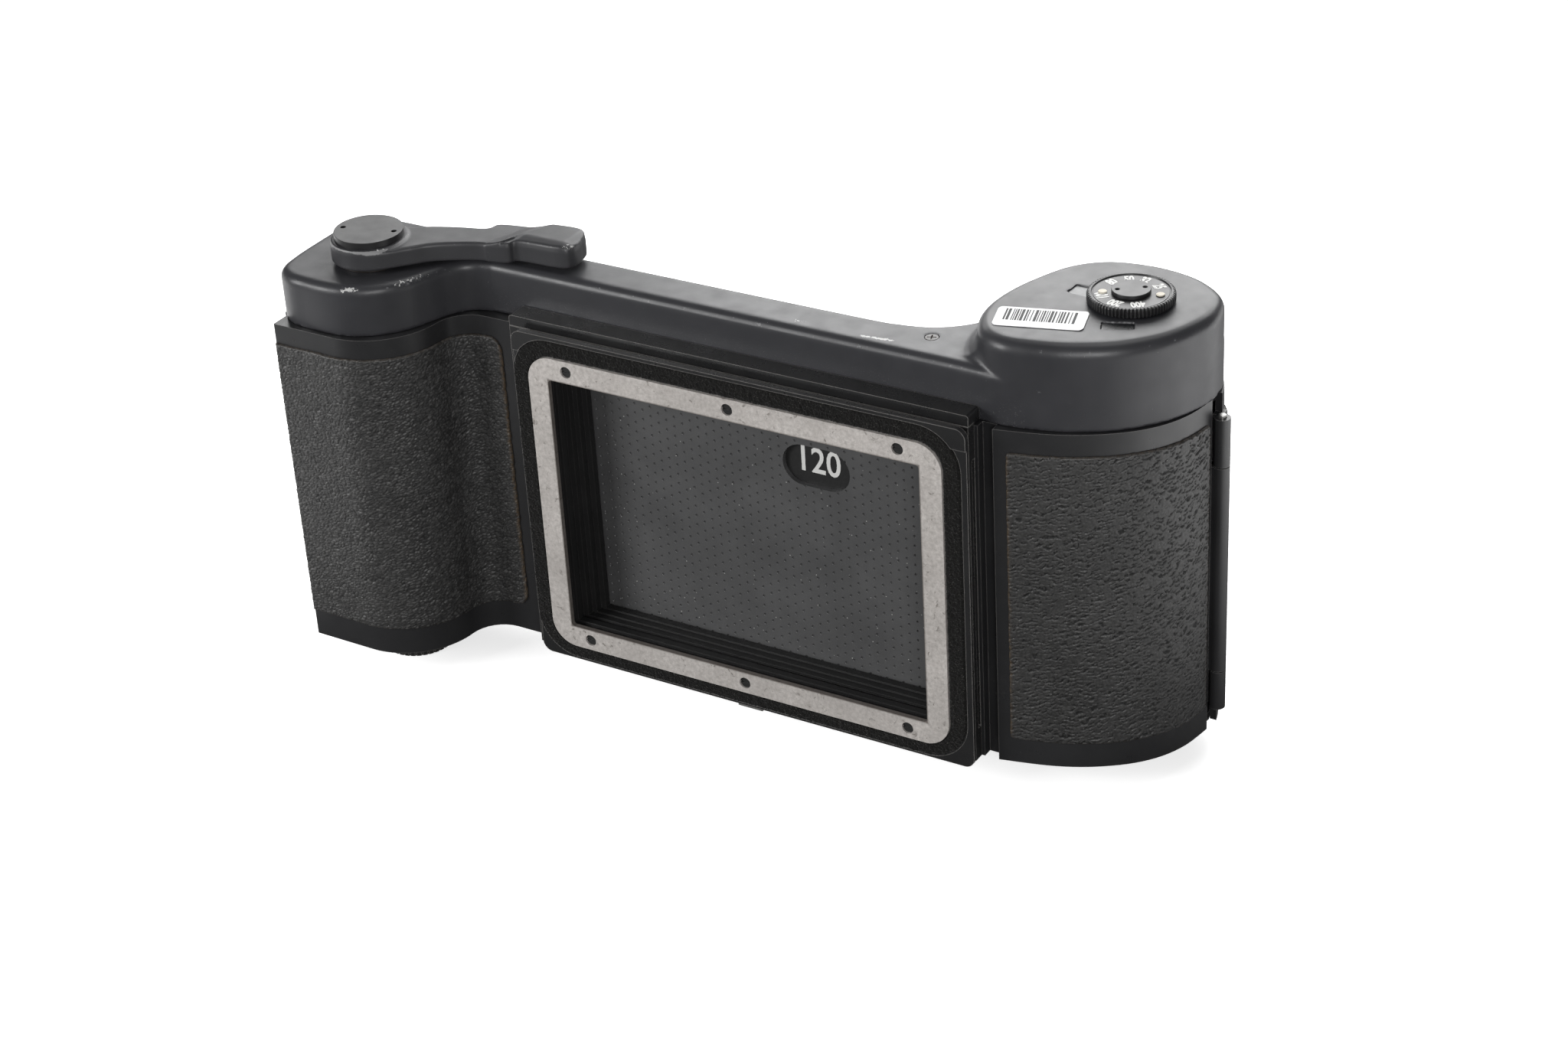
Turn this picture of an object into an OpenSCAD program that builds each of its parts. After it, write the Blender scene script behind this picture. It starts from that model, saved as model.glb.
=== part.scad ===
// Lever-wind roll-film back for a press camera.
// Millimetres. Origin: centre of the retaining plate's opening, on the plate's front plane.
// +X right seen from the lens side, +Y towards the back door, +Z towards the wind lever.

/* [Body] */
// Height of the die-cast body
body_h = 73; // [72.6:0.2:73.4]
// Thickness of the top and bottom decks
deck_t = 1.8; // [1.6:0.1:2.0]
// Wall thickness of the body
wall_t = 1.6; // [1.4:0.1:1.8]

/* [Film gate] */
// Width of the opening in the retaining plate
open_w = 83.3; // [82.9:0.1:83.7]
// Height of the opening in the retaining plate
open_h = 57; // [56.6:0.1:57.4]
// Width of the exposed film frame
gate_w = 77.4; // [76.4:0.2:78.4]
// Height of the exposed film frame
gate_h = 56; // [55.6:0.1:56.4]

/* [Covers] */
// Top of the cover over the take-up side and the bar
cover_top = 47.3; // [47.2:0.1:47.5]
// Top of the raised housing on the supply side
housing_top = 54; // [53.8:0.1:54.2]
// Thickness of the cover walls
cover_t = 1.6; // [1.4:0.1:1.8]

/* [Film transport] */
// Length of a roll-film spool
spool_len = 65.8; // [65.4:0.1:65.9]
// Radius of a spool flange
spool_flange_r = 12.6; // [12.2:0.1:12.6]
// Gear module
gear_m = 0.4; // [0.4:0.01:0.4]

/* [Lever and dial] */
// Radius of the wind lever hub
hub_r = 7.8; // [7.6:0.1:8.0]
// Radius of the film-speed dial
dial_r = 8.3; // [8.0:0.1:8.4]
// Number of knurl ribs on the film-speed dial
dial_ribs = 72; // [60:2:80]

/* [Hidden] */
$fn = 48;
lap = 0.01;                // small overlap between joined shapes

half_h = body_h/2;
deck_z = half_h - deck_t;  // inner face of the top deck
rail_y = 3.0;              // front face of the top rail
back_y = 19.6;             // outer face of the back door
door_t = 1.4;              // thickness of the door skin
left_x = -97;              // left end of the body

// Tooth counts: lever and take-up shaft mesh with the winding idler,
// the metering roller drives the counter disc through the counter idler
lever_teeth = 36;
shaft_teeth = 18;
idler_teeth = 30;
idler_pinion_teeth = 12;
metering_teeth = 8;
counter_idler_teeth = 40;
counter_pinion_teeth = 8;
counter_teeth = 56;

// Axes parallel to Z, as [x, y]
take_up_axis = [-82, -0.5];     // take-up spool and wind lever
supply_axis = [66, 32];
guide_axis = [-48.5, 8.7];
metering_axis = [48.2, 14.8];
counter_axis = [65.2, 27.4];
dial_axis = [69.9, 32.1];
hinge_axis = [87.5, 34.5];
idler_dir = 50;
idler_axis = take_up_axis + polar(mesh_dist(shaft_teeth, idler_teeth), idler_dir);
// The counter idler closes a triangle between metering roller and counter disc
counter_span = norm(counter_axis - metering_axis);
metering_mesh = mesh_dist(metering_teeth, counter_idler_teeth);
counter_mesh = mesh_dist(counter_pinion_teeth, counter_teeth);
counter_idler_dir = heading(metering_axis, counter_axis)
  + acos((pow(metering_mesh, 2) + pow(counter_span, 2) - pow(counter_mesh, 2))
    /(2*metering_mesh*counter_span));
counter_idler_axis = metering_axis + polar(metering_mesh, counter_idler_dir);
counter_dir = heading(counter_idler_axis, counter_axis);

// Places of repeated parts, as [x, z]
plate_screw_spots = [for (x=[-37.2, 0, 37.2], z=[-31, 31]) [x, z]];
frame_screw_spots = [for (x=[-46.5, 46.5], z=[-28, 28]) [x, z]];
post_spots = [for (x=[-30, 30], z=[-20, 20]) [x, z]];
// Places on the cover, as [x, y]
cover_screw_spots = [[36.8, 15.4], [-58, 13.5]];

// Colours
black = [0.06, 0.06, 0.065];
slate = [0.13, 0.135, 0.15];
steel = [0.62, 0.62, 0.6];
brass = [0.7, 0.6, 0.35];
silver = [0.72, 0.7, 0.66];
spring_silver = [0.7, 0.7, 0.68];
gate_black = [0.05, 0.05, 0.05];
seal_black = [0.04, 0.04, 0.04];
screw_brown = [0.09, 0.07, 0.06];
screw_black = [0.08, 0.08, 0.08];
leather_black = [0.07, 0.07, 0.07];
spool_black = [0.12, 0.12, 0.12];
roller_grey = [0.2, 0.2, 0.2];
disc_black = [0.1, 0.1, 0.1];
plate_grey = [0.16, 0.16, 0.165];
rivet_ivory = [0.85, 0.83, 0.78];
glass = [0.75, 0.8, 0.8, 0.35];
label_white = [0.95, 0.95, 0.95];

// ---------- point helpers ----------
function polar(r, a) = r*[cos(a), sin(a)];
function heading(from, to) = atan2(to.y - from.y, to.x - from.x);
function unit(v) = v/norm(v);
function arc_points(centre, r, a0, a1, n) = [for (i=[0:n]) centre + polar(r, a0 + (a1-a0)*i/n)];
// Catmull-Rom spline between b and c
function spline(a, b, c, d, t) =
  0.5*((2*b) + (c-a)*t + (2*a-5*b+4*c-d)*t*t + (3*b-a-3*c+d)*t*t*t);
// smooth open curve through points P, n steps per span
function curve(P, n) = let(m=len(P)) concat(
  [for (i=[0:m-2], k=[0:n-1]) spline(P[max(i-1, 0)], P[i], P[i+1], P[min(i+2, m-1)], k/n)],
  [P[m-1]]);
// smooth closed curve through points P, n steps per span
function ring(P, n) = let(m=len(P))
  [for (i=[0:m-1], k=[0:n-1]) spline(P[(i+m-1)%m], P[i], P[(i+1)%m], P[(i+2)%m], k/n)];
// closed counter-clockwise loop moved inwards by d
function inset(P, d) = let(m=len(P))
  [for (i=[0:m-1]) let(t=unit(P[(i+1)%m] - P[(i+m-1)%m])) P[i] + d*[-t.y, t.x]];
// open path moved by d to the right of its direction
function shift_path(P, d) =
  [for (i=[0:len(P)-1]) let(t=unit(P[min(i+1, len(P)-1)] - P[max(i-1, 0)]))
    P[i] + d*[t.y, -t.x]];
// closed band of width d to the right of an open path
function strip(P, d) = let(side=shift_path(P, d)) concat(P, [for (i=[len(P)-1:-1:0]) side[i]]);

// ---------- solid helpers ----------
module rrect(size, r) offset(r=r) square(size - [2*r, 2*r], center=true);
module box(at, size) translate(at) cube(size);
// prism whose 2D profile lies in the X-Z plane, from y0 to y1
module along_y(y0, y1) translate([0, y1, 0]) rotate([90, 0, 0]) linear_extrude(y1-y0) children();
module rod_y(r, y0, y1) translate([0, y1, 0]) rotate([90, 0, 0]) cylinder(r=r, h=y1-y0);
module at_each(spots) for (s=spots) translate([s[0], 0, s[1]]) children();
module cyl(axis, r, z0, z1) translate([axis.x, axis.y, z0]) cylinder(r=r, h=z1-z0);
// coaxial cylinders, rows of [radius, bottom, top]
module stack(axis, rows) for (row=rows) cyl(axis, row[0], row[1], row[2]);
// bar centred on an axis
module bar(axis, w, d, z0, h) box([axis.x - w/2, axis.y - d/2, z0], [w, d, h]);
// ring of rectangular section, to cut a groove
module groove(axis, r, w, z0, h)
  translate([axis.x, axis.y, z0]) rotate_extrude() translate([r, 0]) square([w, h]);
// pair of holes opposite each other about an axis
module hole_pair(axis, reach, angle, r, z0, z1)
  for (a=[angle, angle+180]) cyl(axis + polar(reach, a), r, z0, z1);
// slotted screw along Y; slot is [length, width, depth]
module slotted_screw(head_r, head_y, slot, shank_r, shank_y) {
  difference() {
    rod_y(head_r, head_y[0], head_y[1]);
    box([-slot[0]/2, head_y[0]-0.1, -slot[1]/2], [slot[0], slot[2]+0.1, slot[1]]);
  }
  rod_y(shank_r, shank_y[0], shank_y[1]);
}

// spur gear with slim straight-flanked teeth and running backlash
function mesh_dist(teeth_a, teeth_b) = gear_m*(teeth_a + teeth_b)/2;
// phase of a gear driven from direction dir, so that a gap faces the driving tooth
function driven(dir, teeth) = dir + 180 + 180/teeth;
function tooth(teeth, i, phase) =
  let(pitch_r=gear_m*teeth/2, tip_r=pitch_r+0.7*gear_m, root_r=pitch_r-1.15*gear_m,
    step=360/teeth, mid=i*step+phase)
  [polar(root_r, mid-0.30*step), polar(tip_r, mid-0.09*step),
   polar(tip_r, mid+0.09*step), polar(root_r, mid+0.30*step)];
module gear(axis, teeth, z0, z1, phase)
  translate([axis.x, axis.y, z0]) linear_extrude(z1-z0)
    polygon([for (i=[0:teeth-1]) for (p=tooth(teeth, i, phase)) p]);

// coil of round wire along Z; seg steps per turn, k corners round the wire
module coil(axis, r, wire_r, z0, z1, turns, seg=16, k=6) {
  n = turns*seg;
  points = [for (i=[0:n]) for (j=[0:k-1])
    let(a=360*i/seg, b=360*j/k, p=axis + polar(r + wire_r*cos(b), a))
    [p.x, p.y, z0 + wire_r + (z1-z0-2*wire_r)*i/n + wire_r*sin(b)]];
  sides = [for (i=[0:n-1]) for (j=[0:k-1])
    [i*k+j, (i+1)*k+j, (i+1)*k+(j+1)%k, i*k+(j+1)%k]];
  ends = [[for (j=[0:k-1]) j], [for (j=[k-1:-1:0]) n*k+j]];
  polyhedron(points, concat(sides, ends), convexity=10);
}

// ---------- plan outlines, points are [x, y] ----------
fillet_centre = [-59.83, -1.7];  // hollow between take-up round and mount frame
// curved front wall of the supply side, up to the hinge
bulge_path = curve([[54.2, 5.3], [62.5, 7.2], [68.3, 9.2], [73.6, 12], [78.6, 15.8],
  [82.4, 20.4], [84.9, 26], [86.2, 33]], 4);
// front edge of the body from the left corner to the hinge
front_path = concat([[left_x, -15.5]], arc_points(take_up_axis, 15.2, 270, 356.8, 22),
  arc_points(fillet_centre, 7, 176, 90, 8), bulge_path);
// back edge of the door from the hinge round the supply bulge to the left end
back_path = concat(curve([[86.7, 36.3], [84.9, 41], [80.2, 45.5], [73.5, 48.2], [65.8, 48.9],
  [58, 47.2], [52, 42.3], [47.8, 35.4], [43.8, 28.8], [39.8, 24], [34.8, 20.9], [29, 19.7]], 4),
  [[22, back_y], [left_x, back_y]]);
cover_low = ring([[-98.4, -5], [-97.2, -10.8], [-93.6, -13.7], [-89, -14.4], [-84, -14.6],
  [-79.5, -14], [-75.8, -12.4], [-72.4, -9.7], [-69.7, -6], [-67.9, -1.6], [-66.2, 2.8],
  [-63.6, 6.1], [-59.8, 7.6], [-54, 7.8], [-20, 7.7], [10, 7.7], [40, 7.7], [50, 7.5],
  [56, 7.3], [62, 8.2], [68.3, 10.1], [73.6, 12.9], [78.2, 16.5], [82.1, 21.1], [84.7, 26.6],
  [86.3, 33.6], [84.9, 40.8], [80.3, 45.6], [73.5, 48.5], [65.8, 49.2], [58, 47.5],
  [52, 42.6], [47.6, 35.5], [43.5, 28.8], [39.5, 23.6], [34.4, 20.2], [28, 18.7], [20, 18.3],
  [-20, 18.3], [-60, 18.3], [-90, 18.3], [-96, 17.2], [-98.3, 13.6], [-98.6, 6]], 2);
cover_high = ring([[47, 14.4], [50.2, 9.6], [55.4, 7.4], [62, 8.2], [68.3, 10.1],
  [75.9, 14.4], [82.1, 21.1], [85.4, 28.4], [86.3, 34.6], [84.4, 41.6], [79.4, 46.2],
  [73.2, 48.6], [65.8, 49.2], [58, 47.5], [52, 42.6], [48.2, 34.8], [46, 27], [45.6, 20]], 4);

module full2d() polygon(concat(front_path, back_path));
// everything behind left_y, and behind right_y beyond the step at x = 60
module behind2d(left_y, right_y)
  polygon([[-120, left_y], [60, left_y], [60, right_y], [120, right_y], [120, 80], [-120, 80]]);
// area closed by the door rather than by the casting
module door_area2d() behind2d(17.99, 32.8);
module deck2d() difference() {
  full2d();
  difference() {
    door_area2d();
    offset(delta=-(door_t+0.1)) full2d();
  }
}
module wall2d() difference() {
  full2d();
  offset(delta=-wall_t) full2d();
  door_area2d();
}

// ---------- body ----------
tunnel = [87.4, 60.6];     // width and height of the opening behind the mount
idler_post_r = 0.8;        // posts of both idlers
idler_bore_r = 0.85;
counter_post_r = 1.2;
bushing_r = 5.2;           // knob bushings
knuckle_r = 1.6;           // hinge knuckles
mid_knuckle_z = -22.9;
mid_knuckle_h = 45;

module body_casting() color(black) difference() {
  union() {
    for (z=[deck_z, -half_h]) translate([0, 0, z]) linear_extrude(deck_t) deck2d();
    translate([0, 0, -deck_z]) linear_extrude(2*deck_z) wall2d();
    // pillar behind the channel beside the mount frame
    box([50.6, 6.4, -deck_z], [5.2, 2.6, 2*deck_z]);
    // middle knuckle of the hinge and its web
    cyl(hinge_axis, knuckle_r, mid_knuckle_z, mid_knuckle_z + mid_knuckle_h);
    box([84.9, 31.8, mid_knuckle_z], [1.05, 2.4, mid_knuckle_h]);
    box([85.9, 33.25, mid_knuckle_z], [1.3, 1.05, mid_knuckle_h]);
  }
  // opening for the film gate
  box([-tunnel.x/2, 4, -tunnel.y/2], [tunnel.x, 4, tunnel.y]);
  // channel that clears the dark slide's grip
  box([51.4, 4, -half_h-1], [3, 3.4, body_h+2]);
  // bores for winding shaft and supply pivot, and for the knob bushings
  for (axis=[take_up_axis, supply_axis]) stack(axis, [[3.05, 30, 40], [bushing_r, -40, -30]]);
  // bores for rollers, posts and hinge pin
  cyl(metering_axis, 1.55, -36.1, 40);
  stack(guide_axis, [[1.0, deck_z-lap, 36.1], [1.0, -36.1, -deck_z+lap]]);
  for (axis=[idler_axis, counter_idler_axis]) cyl(axis, idler_post_r, deck_z-1, half_h+1);
  cyl(counter_axis, counter_post_r, deck_z-1, half_h+1);
  cyl(hinge_axis, 0.8, -30, 30);
  // bayonet notch for the door latch
  box([-97.5, 11.8, -8], [2.6, 7, 12]);
  box([-97.5, 8.8, -8], [2.6, 3.01, 16.5]);
  // holes for the mount frame screws
  at_each(frame_screw_spots) rod_y(0.9, 4, 8);
}

// ---------- mount and film gate ----------
plate_size = [92.8, 66.6];      // retaining plate
seal_size = [100.2, 73.2];      // seal ring round the retaining plate
seal_lift = [0, 0.4];           // centre of the seal ring
seal_r = 9;
mount_fit = [0.2, 0.2];         // clearance round plate and seal
rail_x = -0.65;                 // centre of the rear plate and top rail
rail_w = 102.7;

// dark-slide slot
module slide_slot(x, w) box([x, 4.15, -29.6], [w, 1.05, 59.2]);

module mount_frame() color(black) difference() {
  union() {
    // flange facing the camera
    along_y(0.1, 1.35) translate([0.8, 0.55]) rrect([101.4, 74.7], 2.2);
    along_y(1.3, 2.9) translate([0.4, 0.1]) square([98.2, 72.8], center=true);
    // plate screwed to the body, and the top rail with its shelf
    along_y(rail_y-0.1, 5.3) translate([rail_x, 0.3]) square([rail_w, body_h+0.6], center=true);
    along_y(rail_y, 7.5) translate([rail_x, half_h+1.47]) rrect([rail_w, 2.92], 0.6);
  }
  // seat for the seal ring and the retaining plate
  along_y(0, 1.0) translate(seal_lift) rrect(seal_size + mount_fit, seal_r);
  // side rims below the top strip stand back
  box([-51, 0, -37.5], [103.5, 0.6, 71]);
  along_y(-1, 6) square(tunnel, center=true);
  // the slot is open on the right
  slide_slot(43, 10);
  // holes for the retaining plate's screws, and through holes for the frame screws
  at_each(plate_screw_spots) rod_y(0.6, 0.4, 3.4);
  at_each(frame_screw_spots) {
    rod_y(0.9, 0.8, 6);
    rod_y(1.7, 0.2, 2.2);
  }
  // seat for the bottom catch
  box([-3, 1.35, -38], [6, 1.5, 3]);
}

// steps of the tunnel in front of the film: [back y, width, height]
gate_steps = [[2.6, open_w+1.6, open_h+1.6], [4.1, open_w+0.1, open_h+0.2],
  [5.3, open_w+1.2, open_h+1.3], [6.8, gate_w+4.6, gate_h+1.4],
  [8.4, gate_w+2.4, gate_h+0.7], [10.4, gate_w, gate_h]];
// film rails above and below the frame: [distance from centre, height]
film_rails = [[31.4, 1.6], [28.9, 1.2]];

module film_gate() color(gate_black) difference() {
  union() {
    along_y(1.05, 6.95) square(tunnel - [0.1, 0.1], center=true);
    along_y(6.95, 9.9) square([90, 66], center=true);
    for (side=[-1, 1], rail=film_rails)
      along_y(9.8, 10.3) translate([0, side*rail[0]]) square([90, rail[1]], center=true);
  }
  for (i=[0:len(gate_steps)-1])
    along_y(i == 0 ? 1 : gate_steps[i-1][0]-lap, gate_steps[i][0])
      square([gate_steps[i][1], gate_steps[i][2]], center=true);
  slide_slot(0, 50);
}
module light_seal() color(seal_black) along_y(0.06, 1.0) difference() {
  translate(seal_lift) rrect(seal_size, seal_r);
  rrect(plate_size + mount_fit, 5.6);
}
module retaining_plate() color(silver) difference() {
  along_y(0, 1.0) difference() {
    rrect(plate_size, 5.5);
    rrect([open_w, open_h], 0.7);
  }
  at_each(plate_screw_spots) rod_y(1.25, -1, 2);
}
module plate_screws() color(screw_brown) at_each(plate_screw_spots)
  slotted_screw(head_r=1.2, head_y=[0.35, 1.0], slot=[2.4, 0.3, 0.25],
    shank_r=0.6, shank_y=[0.99, 3.39]);
module frame_screws() color(steel) at_each(frame_screw_spots)
  slotted_screw(head_r=1.65, head_y=[1.2, 2.2], slot=[3.4, 0.4, 0.4],
    shank_r=0.9, shank_y=[2.19, 6.89]);
module mount_catch() color(steel) box([-2.9, 1.4, -37.9], [5.8, 1.3, 2.85]);
module slide_trap() color(seal_black) box([45.8, 4.85, -26.4], [4.2, 0.3, 52.8]);

// ---------- coverings, bands that follow the front wall ----------
leather_t = 0.6;
left_path = concat([[left_x, -15.53], [-92, -15.6]], arc_points(take_up_axis, 15.23, 270, 355, 20),
  arc_points(fillet_centre, 6.96, 175, 98, 7), [[-56.4, 5.26]]);
right_path = let(P=shift_path(bulge_path, 0.02)) [for (i=[1:27]) P[i]];

module leather_left() color(leather_black) intersection() {
  translate([0, 0, -30.5]) linear_extrude(62.8) polygon(strip(left_path, leather_t));
  along_y(-20, 10) translate([-76.6, 0.9]) rrect([40.9, 62.8], 3);
}
module leather_right() color(leather_black) intersection() {
  translate([0, 0, -31]) linear_extrude(63) polygon(strip(right_path, leather_t));
  along_y(0, 40) translate([71.8, 0.5]) rrect([30, 63], 1.2);
}

// ---------- top cover ----------
// rounded edge of the low part in layers: [layer top below cover_top, inset]
low_layers = [[2.2, 0], [1.5, 0.12], [0.95, 0.35], [0.5, 0.7], [0.2, 1.15], [0, 1.7]];
// rounded edge of the housing: [distance below housing_top, inset]
high_layers = [[3.3, 0.02], [2.1, 0.35], [1.0, 1.05], [0.3, 2.1], [0.02, 3.2]];
// window openings: [x, y, turn, width, depth]
counter_opening = [59.9, 32.4, -3, 4.8, 3.8];
format_opening = [72.1, 21.6, 22, 6, 3];
lever_bushing_r = 5.5;
screw_seat_z = cover_top - 0.8;
ball_offset = [6, 0];      // detent ball from the dial axis

module window_block(opening, play, z0, h) {
  size = [opening[3] - 2*play, opening[4] - 2*play, h];
  translate([opening[0], opening[1], z0]) rotate([0, 0, opening[2]])
    box([-size.x/2, -size.y/2, 0], size);
}
module low_cover() for (i=[0:len(low_layers)-1]) {
  z0 = i == 0 ? half_h : cover_top - low_layers[i-1][0] - lap;
  translate([0, 0, z0]) linear_extrude(cover_top - low_layers[i][0] - z0)
    polygon(inset(cover_low, low_layers[i][1]));
}
module raised_housing() {
  translate([0, 0, cover_top-3]) linear_extrude(housing_top-cover_top-0.2)
    polygon(inset(cover_high, 0.02));
  hull() for (layer=high_layers)
    translate([0, 0, housing_top-layer[0]]) linear_extrude(0.02)
      polygon(inset(cover_high, layer[1]));
}
// hollow below a cover top
module cavity(outline, wall, top)
  translate([0, 0, half_h-1]) linear_extrude(top-cover_t-half_h+0.8)
    polygon(inset(outline, wall));

module top_cover() color(slate) difference() {
  union() {
    low_cover();
    raised_housing();
  }
  cavity(cover_low, cover_t, cover_top);
  cavity(cover_high, cover_t+0.6, housing_top);
  // clears the shelf of the mount frame
  box([-52.2, 0, half_h-1], [103.1, 7.55, 4.2]);
  cyl(take_up_axis, lever_bushing_r, 40, 50);
  cyl(dial_axis, 1.55, 50, 60);
  cyl(dial_axis + ball_offset, 0.6, 53.35, 56.35);
  for (opening=[counter_opening, format_opening]) window_block(opening, 0, 50, 8);
  for (spot=cover_screw_spots) stack(spot, [[0.75, 40, 50], [1.35, screw_seat_z, 50]]);
}
module cover_screws() color(screw_black) for (spot=cover_screw_spots) difference() {
  stack(spot, [[1.3, screw_seat_z, cover_top-0.12], [0.7, half_h+0.1, screw_seat_z+lap]]);
  // cross recess
  for (a=[20, 110]) translate([spot.x, spot.y, cover_top-0.45]) rotate([0, 0, a])
    box([-0.9, -0.14, 0], [1.8, 0.28, 1]);
}
module window_pane(opening) color(glass) window_block(opening, 0.02, housing_top-1.5, 1.2);
module counter_window() window_pane(counter_opening);
module format_window() window_pane(format_opening);
module stock_label() color(label_white) translate([58.1, 18.3, housing_top+0.01])
  rotate([0, 0, 15.7]) linear_extrude(0.12) rrect([17, 7.9], 1);

// ---------- wind lever and winding gears ----------
lever_z = 48.2;            // underside of the lever
hub_top = 52.5;
lever_shaft_r = 3.4;
// lever outline: arc round the hub, then the arm
lever_edge = concat(arc_points(take_up_axis, hub_r, 60, 338, 24),
  curve([[-71.6, -3.6], [-70, 0.4], [-66.4, 3.2], [-60.7, 5.9], [-54.5, 7.5], [-52.6, 9.3],
    [-43.4, 9.9], [-41.2, 11.4], [-41.2, 14.6], [-43.7, 18.6], [-53.9, 17.5], [-61.4, 15.9],
    [-63, 13.1], [-68.4, 11.4], [-74, 9.2]], 3));
thumb_pad = [[-52.4, 9.5], [-43.6, 10.1], [-41.6, 11.7], [-41.6, 14.5], [-43.9, 18.2],
  [-53.6, 17.1], [-60.6, 15.6]];

module wind_lever() color(slate) difference() {
  union() {
    translate([0, 0, lever_z]) linear_extrude(4.1) polygon(lever_edge);
    cyl(take_up_axis, hub_r, lever_z, hub_top);
    // raised thumb pad
    translate([0, 0, lever_z]) linear_extrude(5.1) polygon(thumb_pad);
  }
  cyl(take_up_axis, lever_shaft_r, 40, 60);
}
module lever_cap() color(black) difference() {
  cyl(take_up_axis, 7, hub_top, 53.9);
  hole_pair(take_up_axis, reach=5.5, angle=14, r=0.55, z0=53.2, z1=55);
}
module lever_gear() color(brass) {
  gear(take_up_axis, lever_teeth, 41.1, 42.9, idler_dir);
  cyl(take_up_axis, lever_shaft_r, 41.2, hub_top);
}
module lever_bushing() color(brass) difference() {
  stack(take_up_axis, [[lever_bushing_r, 44.6, cover_top+lap], [6.6, cover_top, cover_top+0.6]]);
  cyl(take_up_axis, lever_shaft_r+0.05, 40, 60);
}
module lever_spring() color(steel)
  coil(take_up_axis, r=4.5, wire_r=0.2, z0=43.1, z1=44.5, turns=2);
module idler_post() color(steel)
  stack(idler_axis, [[idler_post_r, deck_z+lap, 44.3], [1.5, half_h, 38.2]]);
module idler_gear() color(brass) difference() {
  union() {
    gear(idler_axis, idler_teeth, 38.3, 40.1, driven(idler_dir, idler_teeth));
    cyl(idler_axis, 1.8, 40, 41.1);
    gear(idler_axis, idler_pinion_teeth, 41, 43, driven(idler_dir, idler_pinion_teeth));
  }
  cyl(idler_axis, idler_bore_r, 38, 44);
}
// shaft through the top deck with the blade that enters a spool
module drive_end(axis, shaft_top) {
  stack(axis, [[3.0, deck_z-0.2, shaft_top], [2.2, 30.2, deck_z-0.1]]);
  bar(axis, w=8.8, d=1.2, z0=30.2, h=4.4);
}
module take_up_shaft() color(steel) {
  drive_end(take_up_axis, 38.3);
  gear(take_up_axis, shaft_teeth, 38.2, 40.2, idler_dir);
}
module clutch_spring() color(steel)
  coil(take_up_axis, r=3.45, wire_r=0.22, z0=half_h+0.05, z1=38.15, turns=2);

// ---------- spools and knobs ----------
module spool(axis) {
  end = spool_len/2;
  color(spool_black) difference() {
    stack(axis, [[5.7, -end, end], [spool_flange_r, -end, -end+1], [spool_flange_r, end-1, end]]);
    // bores at both ends, and the keyway at the top
    stack(axis, [[2.58, -40, -end+5], [2.3, 29.8, 40]]);
    bar(axis, w=9.2, d=1.4, z0=29.8, h=6);
    // very thin slit across the lower end of the core
    bar(axis, w=1, d=20, z0=-31, h=0.01);
  }
}
module take_up_spool() spool(take_up_axis);
module supply_spool() spool(supply_axis);
module supply_pivot() color(steel) {
  drive_end(supply_axis, 36.7);
  cyl(supply_axis, 3.4, 36.6, 37.6);
}
// leaf over the supply pivot, and its foot on the deck
module brake_spring() color(steel) translate([supply_axis.x-1.5, supply_axis.y, 0]) {
  box([0, -3.1, 37.65], [3, 12.6, 0.35]);
  box([0, 6.5, half_h+0.01], [3, 3, 1.3]);
}

knob_r = 7.6;
module knob(axis) color(black) {
  stack(axis, [[2.5, -35, -31.2], [4.1, -36.2, -34.9], [1.5, -41.2, -36.1]]);
  // hollow grip with a grooved rim
  difference() {
    cyl(axis, knob_r, -42, -37.2);
    cyl(axis, 5.9, -41.1, -37);
    for (i=[0:35]) {
      at = axis + polar(knob_r, i*10);
      translate([at.x, at.y, -42.5]) cylinder(r=0.25, h=6, $fn=4);
    }
  }
}
module knob_left() knob(take_up_axis);
module knob_right() knob(supply_axis);
module knob_bushings() color(steel) for (axis=[take_up_axis, supply_axis]) difference() {
  cyl(axis, bushing_r, -40.5, -34.72);
  stack(axis, [[4.2, -39.7, -34], [1.55, -41, -39]]);
}
module knob_spring(axis) color(steel)
  coil(axis, r=2.6, wire_r=0.3, z0=-39.68, z1=-36.25, turns=4);
module knob_spring_left() knob_spring(take_up_axis);
module knob_spring_right() knob_spring(supply_axis);

// ---------- rollers and frame counter ----------
module guide_roller() color(steel) stack(guide_axis, [[1.65, -34.3, 34.3], [0.95, -36, 36]]);
module metering_roller() color(roller_grey) {
  difference() {
    cyl(metering_axis, 4.2, -33.5, 33.5);
    for (z=[-15, 15]) groove(metering_axis, r=4.0, w=1, z0=z-0.5, h=1);
  }
  cyl(metering_axis, 1.5, -36.0, 40.3);
  gear(metering_axis, metering_teeth, 40.2, 42.2, counter_idler_dir);
}
module counter_idler_post() color(steel)
  stack(counter_idler_axis, [[idler_post_r, half_h-0.79, 45.2], [1.6, half_h, 40.2]]);
module counter_idler() color(brass) difference() {
  union() {
    gear(counter_idler_axis, counter_idler_teeth, 40.4, 42,
      driven(counter_idler_dir, counter_idler_teeth));
    cyl(counter_idler_axis, 1.5, 41.9, 43.1);
    gear(counter_idler_axis, counter_pinion_teeth, 43, 45, counter_dir);
  }
  cyl(counter_idler_axis, idler_bore_r, 40, 46);
}
module counter_post() color(steel)
  stack(counter_axis, [[counter_post_r, half_h-0.79, 51.9], [2.2, 41.4, 42.9]]);
module counter_disc() color(disc_black) difference() {
  union() {
    gear(counter_axis, counter_teeth, 43.2, 44.8, driven(counter_dir, counter_teeth));
    stack(counter_axis, [[2.6, 44.7, 50.7], [11, 50.6, 51.4]]);
  }
  cyl(counter_axis, counter_post_r+0.05, 43, 52);
}
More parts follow.
